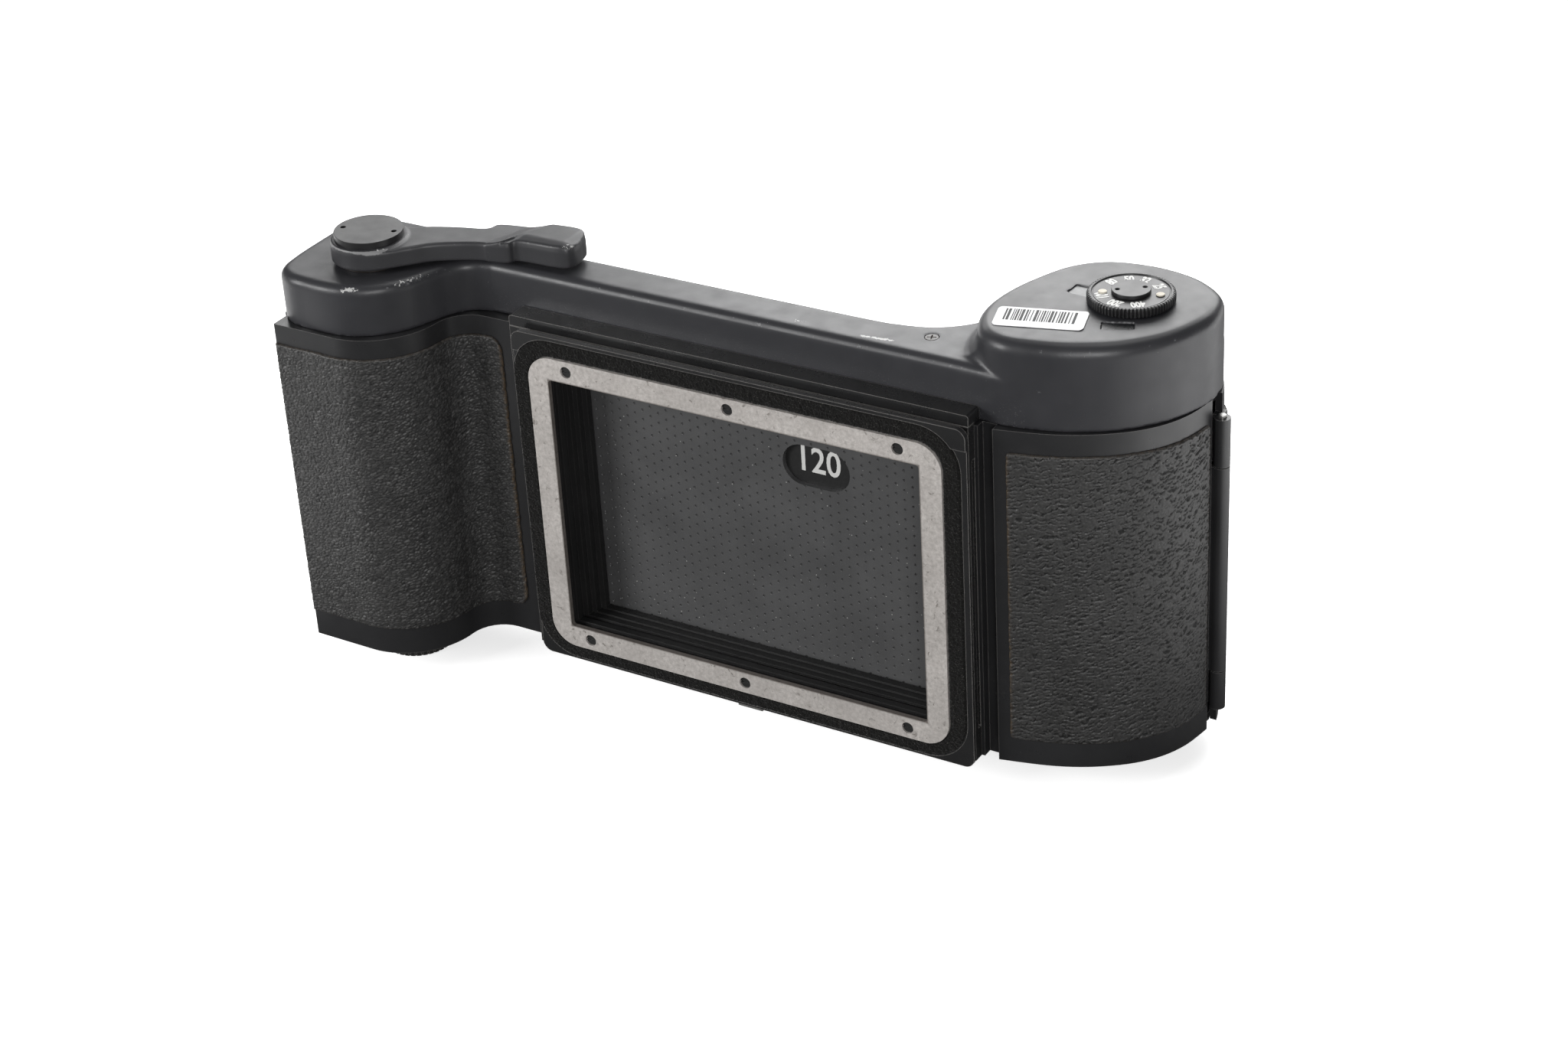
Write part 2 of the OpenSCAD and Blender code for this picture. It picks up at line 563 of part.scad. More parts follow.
module counter_spring() color(steel)
  coil(counter_axis, r=4.2, wire_r=0.22, z0=45.4, z1=47.4, turns=3);

// ---------- film-speed dial ----------
dial_face_z = 55.8;        // face just below the rim
dial_post_r = 1.5;
rivet_r = 0.5;
rivet_spots = [for (p=[[-4.75, -2.3], [5.5, 0.9]]) dial_axis + p];

module speed_dial() color(black) difference() {
  cyl(dial_axis, dial_r, housing_top+0.06, 56);
  stack(dial_axis, [[dial_post_r, 53, 57], [dial_r-0.9, dial_face_z, 57]]);
  // knurl
  for (i=[0:dial_ribs-1]) {
    a = i*360/dial_ribs;
    at = dial_axis + polar(dial_r, a);
    translate([at.x, at.y, 54.3]) rotate([0, 0, a]) cylinder(r=0.2, h=1.4, $fn=4);
  }
  // detent track underneath
  groove(dial_axis, r=5.3, w=1.4, z0=54, h=0.6);
  for (spot=rivet_spots) cyl(spot, rivet_r, 55, 57);
}
module dial_cap() color(black) difference() {
  cyl(dial_axis, 3.7, dial_face_z, 56.6);
  hole_pair(dial_axis, reach=2.6, angle=35, r=0.4, z0=56.1, z1=58);
}
module dial_rivets() color(rivet_ivory)
  for (spot=rivet_spots) stack(spot, [[rivet_r, 55, 55.82], [0.85, 55.81, 56.1]]);
module dial_post() color(steel) cyl(dial_axis, dial_post_r, 52.0, dial_face_z);
module dial_ball() color(steel)
  translate([dial_axis.x+ball_offset.x, dial_axis.y+ball_offset.y, 53.97])
    sphere(r=0.55, $fn=24);

// ---------- back door ----------
post_r = 1.5;              // posts that carry the pressure plate
module door_skin2d() intersection() {
  difference() {
    full2d();
    offset(delta=-door_t) full2d();
  }
  behind2d(18.16, 36.35);
}
module back_door() color(black) difference() {
  union() {
    translate([0, 0, -half_h+0.1]) linear_extrude(body_h-0.2) {
      door_skin2d();
      // left end of the skin and the flap round the body's end
      translate([-98.4, back_y-door_t]) square([12, door_t]);
      translate([-98.4, -10]) square([1.3, 28.5]);
    }
    // end knuckles of the hinge and their webs
    for (z=[[-31.6, -23.1], [22.3, 32.4]]) {
      cyl(hinge_axis, knuckle_r, z[0], z[1]);
      box([85.3, 35, z[0]], [1.9, 2.6, z[1]-z[0]]);
    }
  }
  cyl(hinge_axis, 0.85, -40, 40);
  // slot for the latch
  box([-99, 8.9, -7], [3, 2.9, 14.6]);
  // sockets of the pressure plate's posts
  at_each(post_spots) rod_y(post_r, 17, 19);
}
module door_leather() color(leather_black) translate([0, 0, -31]) linear_extrude(62)
  polygon(strip([for (i=[2:len(back_path)-1])
    [max(back_path[i].x, -96.5), back_path[i].y + 0.02]], leather_t));
module hinge_pin() color(steel) cyl(hinge_axis, 0.78, -31.9, 33.0);
module latch_slide() color(black) {
  // ribbed grip outside the door
  difference() {
    box([-100.3, 5.6, -7], [1.85, 8.8, 10]);
    for (i=[0:4]) box([-100.5, 5, -5.6+i*1.8], [0.7, 10, 0.7]);
  }
  // neck through the slot, and the tongue inside
  box([-98.5, 9.5, -5], [1.6, 1.7, 6]);
  box([-97.04, 9.3, -6], [1.3, 2.1, 8]);
}
module door_seals() color(seal_black)
  for (side=[-1, 1]) box([-90, 17.2, side*33.2-0.5], [115, 0.94, 1]);

// ---------- pressure plate group, carried on four posts of the door ----------
plate_back_y = 11.5;
spring_t = 0.35;
spring_reach = 24;         // half length of a leaf spring
spring_path = [for (i=[0:12]) let(x=-spring_reach + 2*spring_reach*i/12)
  [x, 14.42 + spring_t + 2.2*(1 - pow(x/spring_reach, 2))]];

module pressure_plate() color(plate_grey) difference() {
  along_y(10.45, plate_back_y) rrect([86, 67], 2);
  // oblong window
  along_y(10, 12) translate([13, 16.1])
    hull() for (x=[-3.1, 3.1]) translate([x, 0]) circle(4.45, $fn=32);
}
module index_plate() color(gate_black)
  along_y(plate_back_y, 12.0) translate([13, 16]) rrect([22, 14], 1);
module plate_carrier() color(steel) difference() {
  union() {
    along_y(13.6, 14.4) rrect([78, 56], 2);
    at_each([for (x=[-36, 36], z=[-25, 25]) [x, z]]) rod_y(2, plate_back_y, 13.7);
  }
  at_each(post_spots) rod_y(post_r+0.08, 12, 15);
  along_y(13, 15) square([40, 20], center=true);
}
module carrier_posts() color(steel) at_each(post_spots) {
  rod_y(2.6, 12.85, 13.45);
  rod_y(post_r, 13.4, 18.8);
}
module plate_springs() color(spring_silver) for (z=[-12.5, 12.5])
  translate([0, 0, z-2.5]) linear_extrude(5) polygon(strip(spring_path, spring_t));

body_casting();
mount_frame();
film_gate();
light_seal();
retaining_plate();
plate_screws();
leather_left();
leather_right();
top_cover();
cover_screws();
wind_lever();
lever_cap();
lever_gear();
lever_bushing();
lever_spring();
idler_gear();
idler_post();
take_up_shaft();
clutch_spring();
take_up_spool();
supply_spool();
supply_pivot();
brake_spring();
guide_roller();
metering_roller();
counter_idler();
counter_idler_post();
counter_disc();
counter_post();
counter_spring();
speed_dial();
dial_cap();
dial_rivets();
dial_post();
dial_ball();
counter_window();
format_window();
back_door();
door_leather();
hinge_pin();
pressure_plate();
index_plate();
plate_carrier();
plate_springs();
carrier_posts();
knob_left();
knob_right();
knob_bushings();
knob_spring_left();
knob_spring_right();
latch_slide();
door_seals();
slide_trap();
frame_screws();
mount_catch();
stock_label();
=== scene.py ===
"""A film camera body: moulded top cover, wind lever, speed dial, leather and inner plates.

x runs along the body, to the right as seen from the front. y runs to the back and z up.
Sizes are in millimetres unless a name or comment says otherwise; meshes are stored in metres.
"""
import bpy
import bmesh
import math
import numpy as np
from mathutils import Matrix, Vector


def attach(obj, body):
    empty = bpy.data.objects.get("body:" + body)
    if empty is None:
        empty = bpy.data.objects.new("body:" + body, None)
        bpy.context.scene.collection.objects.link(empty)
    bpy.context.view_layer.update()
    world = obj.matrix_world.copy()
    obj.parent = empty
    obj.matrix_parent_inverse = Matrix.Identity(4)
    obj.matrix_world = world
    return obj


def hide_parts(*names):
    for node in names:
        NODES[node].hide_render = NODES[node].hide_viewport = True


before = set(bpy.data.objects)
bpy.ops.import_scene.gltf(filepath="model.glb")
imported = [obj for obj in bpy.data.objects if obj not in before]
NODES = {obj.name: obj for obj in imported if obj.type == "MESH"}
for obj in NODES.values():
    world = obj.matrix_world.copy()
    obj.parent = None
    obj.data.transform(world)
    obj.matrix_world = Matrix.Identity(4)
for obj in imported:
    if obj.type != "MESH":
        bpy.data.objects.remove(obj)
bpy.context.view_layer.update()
MM = 0.001  # metres in a millimetre

# ---------------------------------------------------------------- driving places
LEVER_AXIS = (-82.0, -0.5)
DIAL_AXIS = (69.9, 32.1)
COVER_BOTTOM = 36.5
COVER_TOP = 54.0  # top of the raised housing at the right


# ---------------------------------------------------------------- outlines
def arc_points(centre, radius, start, end, steps):
    angles = [math.radians(start + (end - start) * i / steps) for i in range(steps + 1)]
    return [(centre[0] + radius * math.cos(a), centre[1] + radius * math.sin(a)) for a in angles]


def spline_point(a, b, c, d, t):
    """Catmull-Rom point between b and c."""
    return 0.5 * ((2 * b) + (c - a) * t + (2 * a - 5 * b + 4 * c - d) * t * t
                  + (3 * b - a - 3 * c + d) * t * t * t)


def open_spline(points, steps):
    points = np.array(points, float)
    last = len(points) - 1
    out = [spline_point(points[max(i - 1, 0)], points[i], points[i + 1],
                        points[min(i + 2, last)], k / steps)
           for i in range(last) for k in range(steps)]
    return [tuple(p) for p in out + [points[-1]]]


def closed_spline(points, steps):
    points = np.array(points, float)
    n = len(points)
    return [tuple(spline_point(points[(i - 1) % n], points[i], points[(i + 1) % n],
                               points[(i + 2) % n], k / steps))
            for i in range(n) for k in range(steps)]


# x, y round the whole cover
COVER_LOW = closed_spline([
    [-98.4, -5], [-97.2, -10.8], [-93.6, -13.7], [-89, -14.4], [-84, -14.6], [-79.5, -14],
    [-75.8, -12.4], [-72.4, -9.7], [-69.7, -6], [-67.9, -1.6], [-66.2, 2.8], [-63.6, 6.1],
    [-59.8, 7.6], [-54, 7.8], [-20, 7.7], [10, 7.7], [40, 7.7], [50, 7.5], [56, 7.3],
    [62, 8.2], [68.3, 10.1], [73.6, 12.9], [78.2, 16.5], [82.1, 21.1], [84.7, 26.6],
    [86.3, 33.6], [84.9, 40.8], [80.3, 45.6], [73.5, 48.5], [65.8, 49.2], [58, 47.5],
    [52, 42.6], [47.6, 35.5], [43.5, 28.8], [39.5, 23.6], [34.4, 20.2], [28, 18.7],
    [20, 18.3], [-20, 18.3], [-60, 18.3], [-90, 18.3], [-96, 17.2], [-98.3, 13.6],
    [-98.6, 6]], 6)
# x, y round the raised housing
COVER_HIGH = closed_spline([
    [47, 14.4], [50.2, 9.6], [55.4, 7.4], [62, 8.2], [68.3, 10.1], [75.9, 14.4],
    [82.1, 21.1], [85.4, 28.4], [86.3, 34.6], [84.4, 41.6], [79.4, 46.2], [73.2, 48.6],
    [65.8, 49.2], [58, 47.5], [52, 42.6], [48.2, 34.8], [46, 27], [45.6, 20]], 8)
# x, y round the lever arm
LEVER_ARM = open_spline([
    [-78, -6.2], [-74.6, -4.2], [-71.6, -1.4], [-69.2, 1.2], [-66.0, 3.4], [-60.7, 5.9],
    [-54.5, 7.5], [-52.6, 9.3], [-43.4, 9.9], [-41.2, 11.4], [-41.2, 14.6], [-43.7, 18.6],
    [-53.9, 17.5], [-61.4, 15.9], [-63, 13.1], [-68.4, 11.4], [-74, 9.2], [-79, 6.0]], 8)


# ---------------------------------------------------------------- noise
def smooth_step(low, high, x):
    t = np.clip((x - low) / (high - low), 0, 1)
    return t * t * (3 - 2 * t)


def lattice_hash(i, j, seed):
    """Repeatable value from 0 to 1 for each whole-number pair."""
    h = (i.astype(np.int64) * 374761393 + j.astype(np.int64) * 668265263
         + seed * 974634777) & 0xFFFFFFFF
    h = ((h ^ (h >> 13)) * 1274126177) & 0xFFFFFFFF
    return ((h ^ (h >> 16)) & 0xFFFFFF) / float(0xFFFFFF)


def value_noise(x, y, seed):
    i, j = np.floor(x), np.floor(y)
    u, v = x - i, y - j
    u = u * u * u * (u * (u * 6 - 15) + 10)
    v = v * v * v * (v * (v * 6 - 15) + 10)
    near = lattice_hash(i, j, seed) * (1 - u) + lattice_hash(i + 1, j, seed) * u
    far = lattice_hash(i, j + 1, seed) * (1 - u) + lattice_hash(i + 1, j + 1, seed) * u
    return near * (1 - v) + far * v


def fractal_noise(x, y, seed, octaves):
    total, weight, weights = 0.0, 1.0, 0.0
    for o in range(octaves):
        layer = value_noise(x * 2 ** o + 17.3 * o, y * 2 ** o - 9.1 * o, seed + o)
        total = total + weight * layer
        weights += weight
        weight *= 0.5
    return total / weights


def cell_pattern(x, y, seed, jitter):
    """Nearest and second distance, cell value, and x and y offset from the nearest centre."""
    i, j = np.floor(x), np.floor(y)
    first, second = np.full(x.shape, 9.0), np.full(x.shape, 9.0)
    value, off_x, off_y = np.zeros(x.shape), np.zeros(x.shape), np.zeros(x.shape)
    for di in (-1, 0, 1):
        for dj in (-1, 0, 1):
            ci, cj = i + di, j + dj
            centre_x = ci + 0.5 + jitter * (lattice_hash(ci, cj, seed) - 0.5)
            centre_y = cj + 0.5 + jitter * (lattice_hash(ci, cj, seed + 7) - 0.5)
            distance = np.hypot(centre_x - x, centre_y - y)
            near = distance < first
            second = np.where(near, first, np.minimum(second, distance))
            value = np.where(near, lattice_hash(ci, cj, seed + 13), value)
            off_x = np.where(near, x - centre_x, off_x)
            off_y = np.where(near, y - centre_y, off_y)
            first = np.where(near, distance, first)
    return first, second, value, off_x, off_y


# ---------------------------------------------------------------- distance fields
def polygon_distance(points, x, y):
    """Signed distance to a closed polygon, negative inside."""
    points = np.array(points, float)
    squared = np.full(x.shape, 1e9)
    inside = np.zeros(x.shape, bool)
    for a, b in zip(points, np.roll(points, -1, axis=0)):
        side = b - a
        dx, dy = x - a[0], y - a[1]
        t = np.clip((dx * side[0] + dy * side[1]) / (side @ side), 0, 1)
        squared = np.minimum(squared, (dx - side[0] * t) ** 2 + (dy - side[1] * t) ** 2)
        if a[1] != b[1]:
            inside ^= ((a[1] > y) != (b[1] > y)) & (
                x < (b[0] - a[0]) * (y - a[1]) / (b[1] - a[1]) + a[0])
    return np.where(inside, -1, 1) * np.sqrt(squared)


def intersect(a, b, radius=0.0):
    """Meeting of two half spaces with the outer corner rounded."""
    if radius <= 0:
        return np.maximum(a, b)
    qa, qb = a + radius, b + radius
    outside = np.hypot(np.maximum(qa, 0), np.maximum(qb, 0))
    return outside + np.minimum(np.maximum(qa, qb), 0) - radius


def box_distance(x, y, half_x, half_y, radius=0.0):
    qx, qy = np.abs(x) - half_x + radius, np.abs(y) - half_y + radius
    outside = np.hypot(np.maximum(qx, 0), np.maximum(qy, 0))
    return outside + np.minimum(np.maximum(qx, qy), 0) - radius


def slab(outline, z, bottom, top, top_radius=0.0, bottom_radius=0.0):
    return np.maximum(intersect(outline, z - top, top_radius),
                      intersect(outline, bottom - z, bottom_radius))


def smooth_union(a, b, width):
    width = np.maximum(width, 1e-4)
    h = np.clip(0.5 + 0.5 * (b - a) / width, 0, 1)
    return b * (1 - h) + a * h - width * h * (1 - h)


def axis_distance(x, y, centre):
    return np.hypot(x - centre[0], y - centre[1])


def field_grid(start, stop, step):
    """x, y and z arrays that broadcast to a regular grid."""
    xs, ys, zs = [np.arange(a, b, step) for a, b in zip(start, stop)]
    x, y = np.meshgrid(xs, ys, indexing="ij")
    return x[:, :, None], y[:, :, None], zs[None, None, :]


def surface_nets(field, origin, step):
    """Closed quad mesh of the zero level of a field sampled on a regular grid."""
    field = np.where(field == 0, 1e-6, field).astype(np.float32)
    inside = field < 0
    corners = [(i, j, k) for i in (0, 1) for j in (0, 1) for k in (0, 1)]
    count = np.zeros(tuple(n - 1 for n in field.shape), np.int8)
    nx, ny, nz = count.shape
    for i, j, k in corners:
        count += inside[i:nx + i, j:ny + j, k:nz + k]
    cells = np.nonzero((count > 0) & (count < 8))
    number = len(cells[0])
    ids = np.full(count.shape, -1, np.int64)
    ids[cells] = np.arange(number)
    # each point is the mean of the crossings on the edges of its cell
    total, crossings = np.zeros((number, 3)), np.zeros(number)
    value = {c: field[tuple(n + d for n, d in zip(cells, c))].astype(float) for c in corners}
    for start in corners:
        for axis in range(3):
            if start[axis]:
                continue
            end = start[:axis] + (1,) + start[axis + 1:]
            fa, fb = value[start], value[end]
            cross = (fa < 0) != (fb < 0)
            point = np.array(start, float)[None, :].repeat(number, 0)
            point[:, axis] += np.where(cross, fa / np.where(cross, fa - fb, 1), 0)
            total += np.where(cross[:, None], point, 0)
            crossings += cross
    points = (total / crossings[:, None] + np.stack(cells, 1)) * step + np.array(origin)
    # one quad for each grid edge that crosses the surface
    quads = []
    for axis in range(3):
        side1, side2 = np.eye(3, dtype=int)[[(axis + 1) % 3, (axis + 2) % 3]]
        lower, upper = [slice(1, -1)] * 3, [slice(1, -1)] * 3
        lower[axis], upper[axis] = slice(0, -1), slice(1, None)
        a, b = inside[tuple(lower)], inside[tuple(upper)]
        for flip in (False, True):
            found = np.argwhere((~a & b) if flip else (a & ~b))
            quad = np.stack([ids[tuple((found + shift).T)]
                             for shift in (0, side1, side1 + side2, side2)], 1)
            quads.append(quad[:, ::-1] if flip else quad)
    return points, np.concatenate(quads)


# ---------------------------------------------------------------- mesh helpers
def quad_mesh(name, points, faces):
    mesh = bpy.data.meshes.new(name)
    mesh.vertices.add(len(points))
    mesh.vertices.foreach_set("co", points.astype(np.float32).ravel())
    mesh.loops.add(faces.size)
    mesh.loops.foreach_set("vertex_index", faces.astype(np.int32).ravel())
    mesh.polygons.add(len(faces))
    mesh.polygons.foreach_set("loop_start", np.arange(0, faces.size, 4, dtype=np.int32))
    mesh.update(calc_edges=True)
    return mesh


def vertex_normals(points, faces):
    mesh = quad_mesh("normals", points, faces)
    normals = np.zeros(len(points) * 3, np.float32)
    mesh.vertex_normals.foreach_get("vector", normals)
    bpy.data.meshes.remove(mesh)
    return normals.reshape(-1, 3)


def add_object(name, data):
    ob = bpy.data.objects.new(name, data)
    bpy.context.scene.collection.objects.link(ob)
    return ob


def make(name, points, faces, body, material, replaces=(), smooth=True, sharp=None,
         attributes=None):
    """Points in millimetres; an array of faces holds quads, a list may hold any polygons."""
    points = np.asarray(points, float) * MM
    if isinstance(faces, np.ndarray):
        mesh = quad_mesh(name, points, faces)
    else:
        mesh = bpy.data.meshes.new(name)
        mesh.from_pydata(points.tolist(), [], [[int(i) for i in f] for f in faces])
    mesh.validate(clean_customdata=False)
    for key, values in (attributes or {}).items():
        layer = mesh.attributes.new(key, "FLOAT", "POINT")
        layer.data.foreach_set("value", np.asarray(values, np.float32).ravel())
    ob = add_object(name, mesh)
    mesh.materials.append(MAT[material])
    if smooth:
        mesh.polygons.foreach_set("use_smooth", np.ones(len(mesh.polygons), bool))
        if sharp:
            mesh.set_sharp_from_angle(angle=math.radians(sharp))
    mesh.update()
    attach(ob, body)
    if replaces:
        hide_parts(*replaces)
    return ob


def prism_faces(n):
    return [tuple(range(n))[::-1], tuple(range(n, 2 * n))] + \
        [(i, (i + 1) % n, n + (i + 1) % n, n + i) for i in range(n)]


def grid_rim(rows, columns):
    """Point numbers round the edge of a grid stored row by row."""
    last = (rows - 1) * columns
    return [i * columns for i in range(rows)] + [last + j for j in range(1, columns)] + \
        [i * columns + columns - 1 for i in range(rows - 2, -1, -1)] + \
        list(range(columns - 2, 0, -1))


def wall_faces(front, back):
    """Quads joining two closed loops of point numbers."""
    n = len(front)
    return [(front[(k + 1) % n], front[k], back[k], back[(k + 1) % n]) for k in range(n)]


# ---------------------------------------------------------------- shader helpers
def add_node(tree, kind, inputs=None, **settings):
    node = tree.nodes.new(kind)
    for key, value in settings.items():
        setattr(node, key, value)
    for key, value in (inputs or {}).items():
        if isinstance(value, bpy.types.NodeSocket):
            tree.links.new(value, node.inputs[key])
        else:
            node.inputs[key].default_value = value
    return node


def as_colour(value):
    """A socket as it is; an RGB triple or one grey value as RGBA."""
    if isinstance(value, bpy.types.NodeSocket):
        return value
    return (*((value,) * 3 if isinstance(value, float) else value), 1)


class Shader:
    """A principled material with coordinates in millimetres."""

    def __init__(self, name, world=False):
        self.material = bpy.data.materials.new(name)
        self.material.use_nodes = True
        self.tree = self.material.node_tree
        self.tree.nodes.clear()
        self.bsdf = self.node("ShaderNodeBsdfPrincipled")
        self.output = self.node("ShaderNodeOutputMaterial", {"Surface": self.bsdf.outputs[0]})
        if world:
            source = self.node("ShaderNodeNewGeometry").outputs["Position"]
        else:
            source = self.node("ShaderNodeTexCoord").outputs["Object"]
        self.place = source
        self.place = self.stretched(1000, 1000, 1000)

    def node(self, kind, inputs=None, **settings):
        return add_node(self.tree, kind, inputs, **settings)

    def surface(self, **values):
        """Set principled inputs by name; return the finished material."""
        for key, value in values.items():
            socket = self.bsdf.inputs[key.replace("_", " ").title().replace("Ior", "IOR")]
            if isinstance(value, bpy.types.NodeSocket):
                self.tree.links.new(value, socket)
            else:
                socket.default_value = value
        return self.material

    def stretched(self, x, y, z):
        return self.node("ShaderNodeVectorMath", {0: self.place, 1: (x, y, z)},
                         operation="MULTIPLY").outputs[0]

    def noise(self, scale, detail=2, rough=0.5, distortion=0.0, at=None):
        return self.node("ShaderNodeTexNoise", {
            "Vector": at or self.place, "Scale": scale, "Detail": detail, "Roughness": rough,
            "Distortion": distortion}).outputs["Fac"]

    def ramp(self, value, span, to=(0.0, 1.0)):
        return self.node("ShaderNodeMapRange", {
            "Value": value, "From Min": span[0], "From Max": span[1], "To Min": to[0],
            "To Max": to[1]}, clamp=True).outputs[0]

    def calc(self, operation, a, b=0.0, clamp=False):
        return self.node("ShaderNodeMath", {0: a, 1: b}, operation=operation,
                         use_clamp=clamp).outputs[0]

    def add(self, a, b, clamp=False):
        return self.calc("ADD", a, b, clamp)

    def times(self, a, b, clamp=False):
        return self.calc("MULTIPLY", a, b, clamp)

    def mix(self, factor, a, b):
        return self.node("ShaderNodeMix", {0: factor, 6: as_colour(a), 7: as_colour(b)},
                         data_type="RGBA").outputs[2]

    def patches(self, low, high, **noise):
        """Noise cut to a mask that rises from low to high."""
        return self.ramp(self.noise(**noise), (low, high))

    def mottled(self, a, b, low=0.35, high=0.65, **noise):
        return self.mix(self.patches(low, high, **noise), a, b)

    def varied(self, low, high, **noise):
        """Value that drifts between low and high."""
        return self.ramp(self.noise(**noise), (0.3, 0.7), to=(low, high))

    def specks(self, scale, fade):
        """Round dots, fading out over a span of distance from each cell point."""
        distance = self.node("ShaderNodeTexVoronoi", {"Vector": self.place, "Scale": scale},
                             feature="F1").outputs["Distance"]
        return self.ramp(distance, fade, to=(1.0, 0.0))

    def scratched(self, colour, tint, strength, lines, rough, distortion, width, patch, span):
        """Hairlines where stretched noise passes a level; lines holds (stretch, level)."""
        for stretch, level in lines:
            noise = self.noise(scale=1.0, rough=rough, distortion=distortion,
                               at=self.stretched(*stretch))
            gap = self.calc("ABSOLUTE", self.calc("SUBTRACT", noise, level))
            line = self.ramp(gap, (0.0, width), to=(1.0, 0.0))
            line = self.times(line, self.patches(*span, scale=patch))
            colour = self.mix(self.times(line, strength), colour, tint)
        return colour

    def attribute(self, name):
        return self.node("ShaderNodeAttribute", attribute_name=name).outputs["Fac"]

    def bump(self, height, strength, depth):
        return self.node("ShaderNodeBump", {
            "Height": height, "Strength": strength, "Distance": depth * MM}).outputs[0]

    def edge_mask(self, radius):
        """Outer edges, from the difference between a rounded normal and the true one."""
        rounded = self.node("ShaderNodeBevel", {"Radius": radius * MM}, samples=6).outputs[0]
        true = self.node("ShaderNodeNewGeometry").outputs["Normal"]
        match = self.node("ShaderNodeVectorMath", {0: rounded, 1: true},
                          operation="DOT_PRODUCT").outputs["Value"]
        return self.ramp(self.calc("SUBTRACT", 1.0, match), (0.02, 0.2))


# ---------------------------------------------------------------- materials
def paint(name, dark, light, roughness, grain, wear, rubbed, edge_mm, dust, scratches=0.5):
    """Enamel over metal. Without edge_mm the wear follows the mesh's own attributes."""
    m = Shader(name)
    colour = m.mottled(dark, light, scale=0.05, detail=3, rough=0.6)
    # rubbed edges
    edge = m.attribute("edge") if edge_mm is None else m.edge_mask(edge_mm)
    onset = (1 - wear) * 0.45
    rub = m.add(m.times(edge, 0.5), m.noise(scale=0.55, detail=4, rough=0.7))
    rub = m.times(m.ramp(rub, (0.5 + onset, 0.62 + onset)), edge, clamp=True)
    colour = m.mix(m.times(rub, 0.75), colour, rubbed)
    rough = m.varied(roughness - 0.04, roughness + 0.05, scale=0.25, detail=4, rough=0.6)
    rough = m.add(rough, m.times(rub, 0.08))
    if edge_mm is None:
        # chips down to bright primer, each with a faint halo
        scuff = m.attribute("scuff")
        chip = m.add(m.times(scuff, 0.45), m.noise(scale=1.7, detail=3, rough=0.65))
        colour = m.mix(m.ramp(chip, (0.90, 0.95)), colour, (0.5, 0.5, 0.49))
        halo = m.add(m.times(scuff, 0.3), m.noise(scale=2.6, detail=3, rough=0.7))
        colour = m.mix(m.times(m.ramp(halo, (0.72, 0.95)), 0.16), colour, 0.5)
    if scratches > 0:
        colour = m.scratched(
            colour, tint=0.25, strength=0.25 * scratches,
            lines=(((0.05, 1.6, 1.2), 0.61), ((1.1, 0.09, 0.7), 0.61)),
            rough=0.55, distortion=0.4, width=0.004, patch=0.12, span=(0.56, 0.68))
    # dust specks, with finer ones where the mesh asks for them
    speck = m.times(m.specks(scale=1.15, fade=(0.05, 0.09)),
                    m.patches(0.62, 0.72, scale=0.9, rough=0.6))
    if edge_mm is None:
        fine = m.times(m.specks(scale=4.5, fade=(0.10, 0.22)), m.attribute("dust"))
        fine = m.times(fine, m.patches(0.5, 0.62, scale=2.2, rough=0.6))
        speck = m.add(speck, fine, clamp=True)
    colour = m.mix(m.times(speck, dust), colour, (0.42, 0.41, 0.39))
    tooth = m.add(m.noise(scale=7.0, rough=0.6), m.times(m.noise(scale=1.3), 0.5))
    return m.surface(base_color=colour, roughness=rough, coat_roughness=0.2,
                     normal=m.bump(tooth, strength=grain, depth=0.03))


def metal(name, dark, light, roughness, stain=0.03, stretch=(0.6, 0.6, 14.0), metallic=0.9):
    """Turned or ground metal with brushing and stain blotches."""
    m = Shader(name)
    colour = m.mottled(dark, light, 0.3, 0.7, scale=0.35, detail=5, rough=0.65)
    blotch = m.patches(0.62, 0.75, scale=1.4, detail=4, rough=0.7, distortion=0.6)
    colour = m.mix(m.times(blotch, 0.35), colour, stain)
    brush = m.noise(scale=1.0, detail=3, rough=0.6, at=m.stretched(*stretch))
    rough = m.ramp(brush, (0.25, 0.75), to=(roughness - 0.07, roughness + 0.1))
    return m.surface(base_color=colour, metallic=metallic, roughness=rough,
                     normal=m.bump(brush, strength=0.05, depth=0.03))


